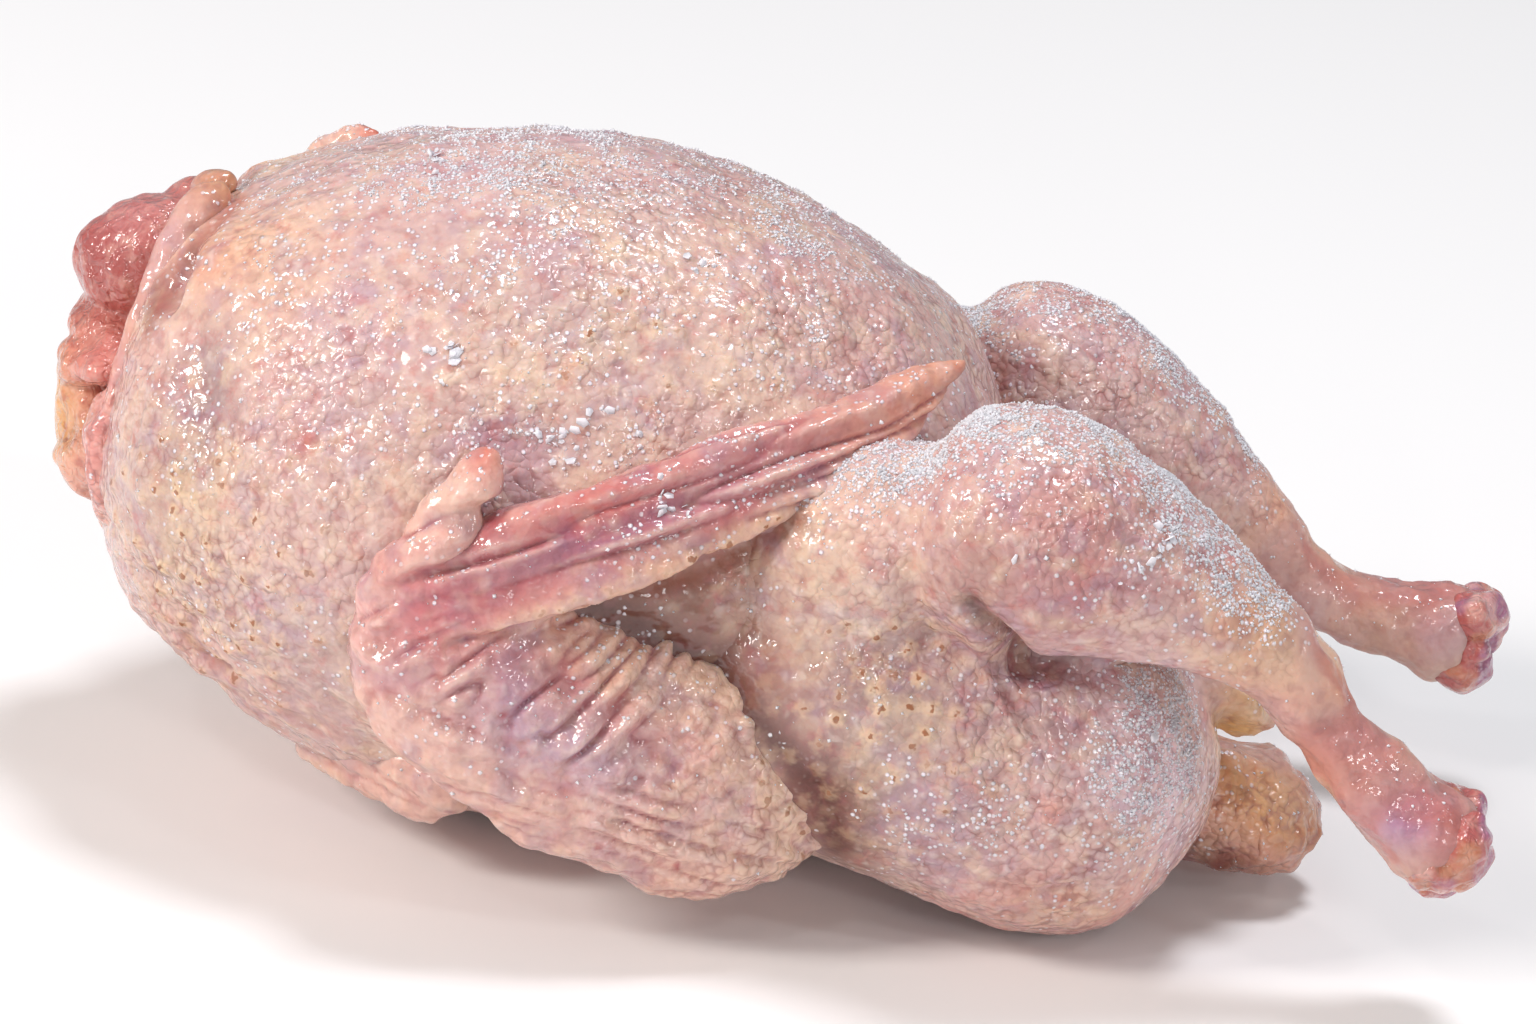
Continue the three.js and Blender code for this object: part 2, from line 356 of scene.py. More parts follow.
def lobe(centre: Triple, half: Triple, tilt: float = 0) -> bmesh.types.BMesh:
    """A rounded lobe with its centre and half sizes, rolled by tilt degrees about Y.

    Args:
        centre: Its middle, in millimetres.
        half: Its half sizes along X, Y and Z.
        tilt: How far it is rolled.

    Returns:
        A closed mesh in millimetres.
    """
    bm = bmesh.new()
    bmesh.ops.create_uvsphere(bm, u_segments=36, v_segments=24, radius=1.0)
    turn = Matrix.Rotation(math.radians(tilt), 4, "Y")
    place = Matrix.Translation(centre) @ turn @ Matrix.Diagonal((*half, 1))
    bmesh.ops.transform(bm, verts=bm.verts, matrix=place)
    return bm


def on_side(side: Side, stations: Iterable[Station]) -> list[Station]:
    """Stations moved to one side of the middle plane: y is given as a distance from it."""
    return [(x, side.value * y, *rest) for x, y, *rest in stations]


# ---- surfaces ----


def fused(
    name: str, shells: list[bmesh.types.BMesh], voxel: float, finish: bpy.types.Material
) -> bpy.types.Object:
    """Joins overlapping closed shells into one even skin.

    Args:
        name: The new object's name.
        shells: Closed meshes in millimetres, in the bird's own frame; they are freed.
        voxel: The spacing of the new skin's points, in millimetres.
        finish: The skin's material.

    Returns:
        An object in metres in the frame of the solid, its place in its mesh.
    """
    joined = bmesh.new()
    for shell in shells:
        part = bpy.data.meshes.new("shell")
        shell.to_mesh(part)
        joined.from_mesh(part)
        shell.free()
        bpy.data.meshes.remove(part)
    bmesh.ops.translate(joined, verts=joined.verts, vec=Vector(CENTRE))
    bmesh.ops.scale(joined, verts=joined.verts, vec=(MM, MM, MM))
    mesh = bpy.data.meshes.new(name)
    joined.to_mesh(mesh)
    joined.free()
    piece = bpy.data.objects.new(name, mesh)
    bpy.context.scene.collection.objects.link(piece)
    remesh = piece.modifiers.new("one skin", "REMESH")
    remesh.mode = "VOXEL"
    remesh.voxel_size = voxel * MM
    evaluated = piece.evaluated_get(bpy.context.evaluated_depsgraph_get())
    skin = bpy.data.meshes.new_from_object(evaluated)
    piece.modifiers.clear()
    piece.data = skin
    skin.name = name
    bpy.data.meshes.remove(mesh)
    skin.polygons.foreach_set("use_smooth", np.ones(len(skin.polygons), bool))
    skin.materials.append(finish)
    return piece


class Surface:
    """A piece's points and neighbours as arrays, in millimetres, for sculpting in code."""

    def __init__(self, piece: bpy.types.Object) -> None:
        """Reads the piece's mesh."""
        self.piece = piece
        self.mesh = piece.data
        count = len(self.mesh.vertices)
        flat = np.empty(count * 3, np.float32)
        self.mesh.vertices.foreach_get("co", flat)
        self.points = flat.reshape(-1, 3).astype(float) / MM - CENTRE
        pairs = np.empty(len(self.mesh.edges) * 2, np.int32)
        self.mesh.edges.foreach_get("vertices", pairs)
        self.edges = pairs.reshape(-1, 2)
        self.degree = np.maximum(1, np.bincount(self.edges.ravel(), minlength=count))
        self.normals = np.zeros((count, 3))
        self.store()

    def store(self) -> None:
        """Writes the points back and reads the new normals."""
        flat = ((self.points + CENTRE) * MM).astype(np.float32).ravel()
        self.mesh.vertices.foreach_set("co", flat)
        self.mesh.update()
        normals = np.empty(len(self.points) * 3, np.float32)
        self.mesh.vertex_normals.foreach_get("vector", normals)
        self.normals = normals.reshape(-1, 3).astype(float)

    def neighbours(self, places: np.ndarray) -> np.ndarray:
        """The mean place of each point's neighbours.

        Args:
            places: A place for each point.

        Returns:
            A place for each point.
        """
        a, b = self.edges.T
        count = len(places)
        sums = [np.bincount(a, axis[b], count) + np.bincount(b, axis[a], count) for axis in places.T]
        return np.stack(sums, axis=1) / self.degree[:, None]

    def relax(self, rounds: int, share: np.ndarray | float = 1.0) -> None:
        """Smooths the points.

        Args:
            rounds: How often.
            share: How much of each step each point takes.
        """
        step = RELAX_STEP * (share[:, None] if isinstance(share, np.ndarray) else share)
        for _ in range(rounds):
            self.points += step * (self.neighbours(self.points) - self.points)
        self.store()

    def lift(self, height: np.ndarray) -> None:
        """Moves each point along its normal by a height in millimetres."""
        self.points += self.normals * height[:, None]
        self.store()

    def hollowness(self, rounds: int) -> np.ndarray:
        """How far each point lies under the mean of its surroundings, in millimetres.

        Args:
            rounds: How wide the surroundings are, in rounds of smoothing.

        Returns:
            One depth for each point; a crest has a negative one.
        """
        mean = self.points.copy()
        for _ in range(rounds):
            mean += RELAX_STEP * (self.neighbours(mean) - mean)
        return np.einsum("ij,ij->i", mean - self.points, self.normals)

    def write(self, **layers: np.ndarray | float) -> None:
        """Stores layers on the mesh's points.

        Args:
            layers: For each name, numbers, linear colours, or one number for all points.
        """
        count = len(self.points)
        for name, values in layers.items():
            if np.ndim(values) == 2:
                layer = self.mesh.attributes.new(name, "FLOAT_COLOR", "POINT")
                rgba = np.concatenate([values, np.ones((count, 1))], axis=1)
                layer.data.foreach_set("color", rgba.astype(np.float32).ravel())
            else:
                layer = self.mesh.attributes.new(name, "FLOAT", "POINT")
                layer.data.foreach_set("value", np.broadcast_to(values, count).astype(np.float32))


@dataclass(frozen=True)
class Patch:
    """A soft-edged patch of colour on the skin."""

    what: str
    place: Triple
    reach: Triple
    colour: str
    strength: float = 0.8
    one_side: bool = False

    def share(self, points: np.ndarray) -> np.ndarray:
        """How much of the patch's colour each point takes.

        Args:
            points: Places in millimetres.

        Returns:
            A share for each point; the name's length seeds its ragged edge.
        """
        here = points if self.one_side else near_side(points)
        ragged = 1 + 0.25 * grain(points, 5.0, len(self.what))
        return self.strength * spot(here, self.place, np.array(self.reach) * ragged[:, None])


@dataclass(frozen=True)
class Follicles:
    """Feather pits: small raised cones, crowded in the bird's feather tracts."""

    spacing: float = 1.6
    height: float = 0.5
    seed: int = 11
    cone_radius: float = 0.66
    furthest: float = 2.0
    tries: int = 26000

    def seat(self, skin: Surface, tract: np.ndarray) -> np.ndarray:
        """Chooses the pits' places, raises their cones and stores what the finish reads.

        Args:
            skin: The skin.
            tract: How strongly pits show at each point, from 0 to 1.

        Returns:
            The height that each point rises by, in millimetres.
        """
        random = np.random.default_rng(self.seed)
        seats: dict[tuple[int, int, int], list[int]] = {}
        kept: list[int] = []
        for index in random.permutation(len(skin.points))[: self.tries]:
            point = skin.points[index]
            gap = self.spacing * (0.9 + 0.5 * random.random() if tract[index] > 0.3 else 1.7)
            cell = tuple(int(c) for c in np.floor(point / (1.7 * self.spacing)))
            around = (tuple(cell[k] + step[k] - 1 for k in range(3)) for step in np.ndindex(3, 3, 3))
            rivals = [other for key in around for other in seats.get(key, ())]
            if rivals and np.min(((skin.points[rivals] - point) ** 2).sum(axis=1)) < gap**2:
                continue
            seats.setdefault(cell, []).append(index)
            kept.append(index)
        tree = KDTree(len(kept))
        for order, index in enumerate(kept):
            tree.insert(skin.points[index], order)
        tree.balance()
        power = random.uniform(0.25, 1.0, len(kept)) * tract[kept]
        found = [tree.find(point)[1:] for point in skin.points]
        which, away = (np.array(column) for column in zip(*found))
        skin.write(follicle=np.minimum(away, self.furthest), pores=power[which])
        return self.height * power[which] * band(away, 0, self.cone_radius)


def painted(points: np.ndarray, base: str, patches: tuple[Patch, ...] = ()) -> np.ndarray:
    """The linear colour of each point: a base colour under soft patches."""
    colour = np.tile(np.array(hex_linear(base)[:3]), (len(points), 1))
    return layered(colour, ((patch.colour, patch.share(points)) for patch in patches))


# ---- finishes ----


@dataclass(frozen=True)
class PoultrySkin:
    """Raw, damp bird skin: thin, slightly see-through, pored and finely crinkled, with frost on top."""

    # thin skin lets light in, so its shadows are soft and rosy; its wet film gives the small glints
    name: str = "raw_quail_skin"
    plate_mm: float = 0.75
    mottle_mm: float = 3.0
    frost_grain_mm: float = 0.4
    roughness: float = 0.55
    plate_height_mm: float = 0.26
    lump_height_mm: float = 0.34
    grit_height_mm: float = 0.06
    frost_height_mm: float = 0.14
    film_plate_mm: float = 0.15
    film_lump_mm: float = 0.34
    frost_cover: float = 0.85
    frost_roughness: float = 0.1

    def patterns(self, tree: bpy.types.NodeTree, mm: bpy.types.NodeSocket) -> dict[str, bpy.types.NodeSocket]:
        """Adds the skin's patterns.

        Args:
            tree: The material's node tree.
            mm: The place on the bird in millimetres.

        Returns:
            A socket for each pattern, and for each attribute that the material reads: frost, wet,
            veins (how strongly the mottling shows), pebbled (how strongly the fine domes show),
            follicle (distance to the nearest feather pit in millimetres) and pores (how strongly
            that pit shows).
        """
        at = {}
        for name in ("frost", "wet", "veins", "pebbled", "follicle", "pores"):
            at[name] = add_node(tree, "Attribute", attribute_name=name).outputs["Fac"]
        noises = (
            ("violet", self.mottle_mm, 2.0, 0.55),
            ("red", 0.6 * self.mottle_mm, 3.0, 0.65),
            ("cream", 0.8 * self.mottle_mm + 0.5, 2.0, 0.55),
            ("lumps", 1.3, 1.0, 0.5),
            ("grit", 0.45, 1.0, 0.6),
            ("clouds", 2.6, 0.0, 0.55),
            ("ragged", 0.6, 1.0, 0.55),
        )
        for name, size, detail, rough in noises:
            links = {"Vector": mm, "Scale": 1 / size, "Detail": detail, "Roughness": rough}
            at[name] = add_node(tree, "TexNoise", links).outputs["Fac"]
        bend = add_node(tree, "TexNoise", {"Vector": mm, "Scale": 0.8, "Detail": 1.0}).outputs["Color"]
        bent = add_node(tree, "VectorMath", {0: mm, 1: bend}, operation="ADD").outputs[0]
        plates = add_node(tree, "TexVoronoi", {"Vector": bent, "Scale": 1 / self.plate_mm}, feature="F1")
        grains = add_node(tree, "TexVoronoi", {"Vector": mm, "Scale": 1 / self.frost_grain_mm}, feature="F1")
        chosen = add_node(tree, "SeparateColor", {"Color": grains.outputs["Color"]}).outputs[0]
        at |= {"plate": plates.outputs["Distance"], "grain": grains.outputs["Distance"], "chosen": chosen}
        sums = (
            ("square", "MULTIPLY", ("plate", "plate")),
            ("dome", "MULTIPLY_ADD", ("square", -1.6, 1.0)),
            ("domes", "MULTIPLY", ("dome", "pebbled")),
            ("chipped", "SUBTRACT", ("ragged", 0.5)),
            ("pit", "MULTIPLY_ADD", ("chipped", 1.5, "follicle")),
            ("crowd", "ADD", ("chosen", "frost")),
        )
        for name, operation, terms in sums:
            links = {k: at.get(term, term) for k, term in enumerate(terms)}
            at[name] = add_node(tree, "Math", links, operation=operation).outputs[0]
        return at

    def build(self) -> bpy.types.Material:
        """Builds the material, which reads the attribute tint and those of its patterns."""
        material, tree, mm = empty_material(self.name)
        at = self.patterns(tree, mm)
        colour = add_node(tree, "Attribute", attribute_name="tint").outputs["Color"]
        # each row: a pattern, the values where it starts and is full, its most, its colour if it
        # has one, the patterns that hold it back, and the name that it is kept by
        rows = (
            ("clouds", 0.4, 0.62, 1.0, "", (), "blotches"),
            ("lumps", 0.4, 0.6, 1.0, "", (), "rises"),
            ("pores", 0.35, 0.6, 1.0, "", (), "strong pits"),
            ("crowd", 1.02, 1.12, 1.0, "", (), "frosted"),
            # veins, meat and fat under thin skin: violet, red and cream clouds
            ("violet", 0.48, 0.68, 0.34, "#a2839f", ("veins",), "bruise"),
            ("red", 0.5, 0.7, 0.36, "#c4625f", ("veins",), "meat"),
            ("cream", 0.5, 0.68, 0.3, "#efd2b0", ("veins",), "fat"),
            # the skin's small domes: deep pink painted shade in the furrows between them and a pale painted
            # highlight on their crowns, partly the skin's own pink and cream
            ("plate", 0.42, 0.72, 0.6, "#9c5250", ("blotches", "pebbled"), "groove_shade"),
            ("plate", 0.36, 0.05, 0.4, "#f9e6da", ("rises", "pebbled"), "dome_highlight"),
            # the larger lumps: dark pink painted shade where they sink and a pale painted highlight where
            # they rise
            ("lumps", 0.46, 0.3, 0.24, "#94565a", (), "lump_shade"),
            ("lumps", 0.58, 0.74, 0.26, "#f7e6dc", ("veins",), "lump_highlight"),
            # feather pits: a pale cream cone with a small rusty dot
            ("pit", 1.15, 0.2, 0.6, "#efcda4", ("pores",), "cone"),
            ("pit", 0.34, 0.1, 0.85, "#95501f", ("strong pits",), "dot"),
            # frost: pale granules, each a cell of its own, as crowded as the attribute asks
            ("grain", 0.66, 0.28, self.frost_cover, "#f6f1f8", ("frosted",), "white"),
        )
        for source, low, high, most, code, masks, name in rows:
            links = {"Value": at[source], "From Min": low, "From Max": high, "To Min": 0.0, "To Max": most}
            share = add_node(tree, "MapRange", links, interpolation_type="SMOOTHSTEP").outputs[0]
            for mask in masks:
                share = add_node(tree, "Math", {0: share, 1: at[mask]}, operation="MULTIPLY").outputs[0]
            at[name] = share
            if code:
                links = {0: share, 6: colour, 7: hex_linear(code)}
                colour = add_node(tree, "Mix", links, data_type="RGBA").outputs[2]
        # the wet film lies smoother than the skin, so it breaks the lamps into separate glints
        reliefs = {
            "Normal": (
                ("domes", self.plate_height_mm),
                ("lumps", self.lump_height_mm),
                ("grit", self.grit_height_mm),
                ("white", self.frost_height_mm / self.frost_cover),
            ),
            "Coat Normal": (("domes", self.film_plate_mm), ("lumps", self.film_lump_mm)),
        }
        normals = {}
        for name, parts in reliefs.items():
            height = 0.0
            for source, rise in parts:
                links = {0: at[source], 1: rise, 2: height}
                height = add_node(tree, "Math", links, operation="MULTIPLY_ADD").outputs[0]
            links = {"Height": height, "Strength": 1.0, "Distance": MM}
            normals[name] = add_node(tree, "Bump", links).outputs[0]
        links = {0: at["white"], 1: self.frost_roughness / self.frost_cover, 2: self.roughness}
        rough = add_node(tree, "Math", links, operation="MULTIPLY_ADD").outputs[0]
        shader = add_node(
            tree,
            "BsdfPrincipled",
            {
                "Base Color": colour,
                "Roughness": rough,
                "IOR": 1.38,
                "Subsurface Weight": 0.22,
                "Subsurface Radius": (1.0, 0.38, 0.22),
                "Subsurface Scale": 0.0009,
                "Coat Weight": at["wet"],
                "Coat Roughness": 0.13,
                "Coat IOR": 1.6,
                **normals,
            },
        )
        add_node(tree, "OutputMaterial", {"Surface": shader.outputs[0]})
        return material


@dataclass(frozen=True)
class WetFlesh:
    """Cut meat, gristle and fat: glossy, bulging and red to yellow, with a wet film."""

    # the film is smooth and unbroken, so the lamps show in it as small sharp lights
    name: str = "cut_quail_flesh"
    fibre_mm: float = 1.1
    ripple_mm: float = 0.5

    def build(self) -> bpy.types.Material:
        """Builds the material, which reads the attribute tint."""
        material, tree, mm = empty_material(self.name)
        colour = add_node(tree, "Attribute", attribute_name="tint").outputs["Color"]
        blotch = add_node(tree, "TexNoise", {"Vector": mm, "Scale": 1 / self.fibre_mm, "Detail": 5.0})
        # fat shows pale between the fibres, and blood dark
        for low, high, most, code in ((0.52, 0.75, 0.35, "#f2c6b4"), (0.48, 0.3, 0.5, "#a8443e")):
            links = {"Value": blotch.outputs["Fac"], "From Min": low, "From Max": high, "To Max": most}
            share = add_node(tree, "MapRange", links).outputs[0]
            links = {0: share, 6: colour, 7: hex_linear(code)}
            colour = add_node(tree, "Mix", links, data_type="RGBA").outputs[2]
        links = {"Vector": mm, "Scale": 0.95, "Detail": 1.5, "Roughness": 0.5, "Distortion": 0.8}
        ripples = add_node(tree, "TexNoise", links).outputs["Fac"]
        links = {"Height": ripples, "Strength": 1.0, "Distance": self.ripple_mm * MM}
        bump = add_node(tree, "Bump", links).outputs[0]
        shader = add_node(
            tree,
            "BsdfPrincipled",
            {
                "Base Color": colour,
                "Roughness": 0.36,
                "IOR": 1.42,
                "Subsurface Weight": 0.25,
                "Subsurface Radius": (1.0, 0.3, 0.2),
                "Subsurface Scale": 0.0012,
                "Coat Weight": 1.0,
                "Coat Roughness": 0.08,
                "Normal": bump,
                "Coat Normal": bump,
            },
        )
        add_node(tree, "OutputMaterial", {"Surface": shader.outputs[0]})
        return material


@dataclass(frozen=True)
class Ice:
    """Frost crystals: clear ice broken so finely that it looks white, with bright facets."""

    # light scatters inside each crystal, so a granule glows faintly and a flake's edge flashes
    name: str
    colour: str
    roughness: float

    def build(self) -> bpy.types.Material:
        """Builds the material."""
        inputs = {
            "Base Color": hex_linear(self.colour),
            "Roughness": self.roughness,
            "IOR": 1.31,
            "Subsurface Weight": 0.5,
            "Subsurface Radius": (1.0, 0.9, 0.9),
            "Subsurface Scale": 0.0006,
        }
        return even_material(self.name, inputs)


# ---- the bird ----


@dataclass
class Trunk:
    """Breast, rump, tail and vent: the sizes are the solid's own."""

    neck_x: float = -56.0
    breast_length: float = 78.0
    breast_width: float = 58.0
    breast_depth: float = 57.0
    pelvis_width: float = 42.0
    tail_half_width: float = 6.4

    def breast(self) -> bmesh.types.BMesh:
        """The egg-shaped breast and back."""
        sections = (
            (0.0, 28.6, 0.42, 0.42), (0.09, 29.8, 0.67, 0.64), (0.19, 29.2, 0.85, 0.8),
            (0.3, 28.5, 0.95, 0.93), (0.41, 28.2, 1.0, 1.0), (0.52, 28.1, 1.0, 1.005),
            (0.63, 27.6, 0.965, 0.98), (0.74, 26.6, 0.89, 0.925), (0.85, 24.6, 0.79, 0.84),
            (0.93, 22.4, 0.68, 0.73), (1.0, 20.2, 0.53, 0.6),
        )
        half_width, half_depth = self.breast_width / 2, self.breast_depth / 2
        stations = [
            (self.neck_x + share * self.breast_length, 0, z, wide * half_width, high * half_depth)
            for share, z, wide, high in sections
        ]
        return limb(stations, facing=(1, 0, 0), ends=(0.07, 0.17), around=144, rings=110)

    def pelvis(self) -> bmesh.types.BMesh:
        """The low, narrowing rump."""
        half = self.pelvis_width / 2
        stations = [
            (-26, 0, 14, 0.6 * half, 14.2), (-10, 0, 15.4, 0.9 * half, 15.8), (6, 0, 16, half, 16.3),
            (20, 0, 15.4, 0.9 * half, 15.7), (30, 0, 14.6, 0.74 * half, 13.4), (37, 0, 12.4, 0.5 * half, 10),
        ]
        return limb(stations, facing=(1, 0, 0), around=80, rings=60)

    def tail(self) -> bmesh.types.BMesh:
        """The short fatty tail."""
        half = self.tail_half_width
        stations = [
            (33, -1.5, 9, 0.9 * half, 6), (39, -2, 8, half, 6),
            (44.4, -2.5, 6.4, 0.94 * half, 4.8), (49.2, -3, 5.8, 0.7 * half, 3.4),
        ]
        return limb(stations, ends=(0.2, 0.22))

    def vent_flap(self) -> bmesh.types.BMesh:
        """The skin flap above the tail."""
        stations = [
            (30, -9, 22.4, 4.6, 2.6), (35.5, -8.6, 22.4, 5.2, 2.5), (39.6, -7.6, 19.8, 4.8, 2.4),
            (40.8, -6.4, 15.6, 4.0, 2.0),
        ]
        return limb(stations)

    @staticmethod
    def hollow_out(skin: Surface) -> None:
        """Presses the vent's hollow into the rear of the rump, as deep as the solid's.

        Args:
            skin: The bird's skin before it is smoothed.
        """
        centre, half = np.array([39.0, 0.5, 15.0]), np.array([9.0, 6.0, 3.72])
        local = (skin.points - centre) / half
        inside = (local**2).sum(axis=1) < 1
        wall = -np.sqrt(np.clip(1 - local[:, 1] ** 2 - local[:, 2] ** 2, 0, 1)) * half[0] + centre[0]
        skin.points[inside, 0] = np.minimum(skin.points[inside, 0], wall[inside])
        skin.store()


@dataclass
class Leg:
    """A thigh, drumstick and bare shank on one side."""

    side: Side
    knee: tuple[float, float]
    calf: tuple[float, float]
    ankle: tuple[float, float]
    shank: tuple[float, float]
    hock: tuple[float, float]
    thigh_radius: float = 14.0
    drumstick_radius: float = 10.2
    bone: float = 2.9
    hock_radius: float = 4.4
    spread: float = 22.0

    def thigh(self) -> bmesh.types.BMesh:
        """The full mass from the flank to the hip."""
        r = self.thigh_radius
        stations = [
            (-14, 13.5, 20, 0.6 * r, 0.64 * r), (-4, 15.6, 20.5, 0.78 * r, 0.88 * r),
            (6, 16.5, 20.6, 0.88 * r, 1.04 * r), (16, 16.6, 19, 0.9 * r, 1.12 * r),
            (24.5, 16.2, 15.8, 0.88 * r, 1.08 * r), (32.4, 14.8, 14.4, 0.8 * r, 0.92 * r),
            (39.8, 12.6, 14.8, 0.58 * r, 0.62 * r),
        ]
        return limb(on_side(self.side, stations), facing=(1, 0, 0), ends=(0.2, 0.18), around=80, rings=64)

    def flank(self) -> bmesh.types.BMesh:
        """The loose skin that leads from the breast's side up to the knee."""
        x, z = self.knee
        rows = ((-20, -6.0, -9.0, 5.0), (-12, -4.0, -4.6, 7.4), (-4, -2.6, -1.6, 8.8), (4, -2.0, 0.4, 9.4))
        stations = [(x + dx, self.spread + out, z + dz, radius, radius) for dx, out, dz, radius in rows]
        return limb(on_side(self.side, stations), around=56, rings=48)

    def lower(self) -> bmesh.types.BMesh:
        """The drumstick and its shank, as far as the cut hock."""

        def mix(a: tuple[float, float], b: tuple[float, float], t: float) -> tuple[float, float]:
            """A point between two others."""
            return a[0] + t * (b[0] - a[0]), a[1] + t * (b[1] - a[1])

        def bowed(t: float) -> tuple[float, float]:
            """A point on the drumstick's bowed middle line."""
            x, z = mix(self.calf, self.ankle, t)
            return x, z + 4.8 * t * (1 - t)

        r, bone = self.drumstick_radius, self.bone
        rows = [
            (self.knee, -2.5, 0.78 * r), (mix(self.knee, self.calf, 0.5), -1, 0.93 * r), (self.calf, 0, r),
            (bowed(0.3), 0, 0.85 * r), (bowed(0.58), 0, 0.64 * r), (bowed(0.82), 0, 0.47 * r),
            (self.ankle, 0, 1.25 * bone), (self.shank, 0, bone),
            (mix(self.shank, self.hock, 0.5), 0, 1.2 * bone),
            (mix(self.shank, self.hock, 0.9), 0, self.hock_radius),
            (mix(self.shank, self.hock, 1.2), 0, 0.9 * self.hock_radius),
        ]
        stations = [(x, self.spread + out, z, radius, radius) for (x, z), out, radius in rows]
        return limb(on_side(self.side, stations), up=(0.4, 0, 1), ends=(0.14, 0.1), around=56, rings=90)

    def shells(self) -> list[bmesh.types.BMesh]:
        """The leg's closed shells."""
        return [self.thigh(), self.flank(), self.lower()]

    def gristle(self) -> list[bmesh.types.BMesh]:
        """The knobs where the foot was cut off."""
        s, (x, z) = self.side.value, self.hock
        y = s * self.spread
        return [
            lobe((x + 0.9, y - 1.5 * s, z + 2.4), (2.7, 2.7, 2.2)),
            lobe((x + 1.4, y + 1.6 * s, z + 0.6), (2.7, 2.7, 3.2)),
            lobe((x + 0.2, y - 1.2 * s, z - 2.6), (2.8, 2.9, 2.2)),
            lobe((x - 0.6, y + 2.6 * s, z - 0.9), (2.5, 1.9, 2.3)),
            lobe((x + 1.0, y - 2.4 * s, z - 0.4), (1.8, 1.6, 1.2)),
        ]


@dataclass
class WingPlaces:
    """Where each point of a wing lies against the hand and the forearm, in shares and millimetres."""

    on_hand: np.ndarray
    along_hand: np.ndarray
    above_hand: np.ndarray
    along_arm: np.ndarray
    above_arm: np.ndarray
    cleft: np.ndarray  # 1 in the dark cleft between thumb and hand
    pleated: np.ndarray  # near 0 in the bottom of each wrinkle


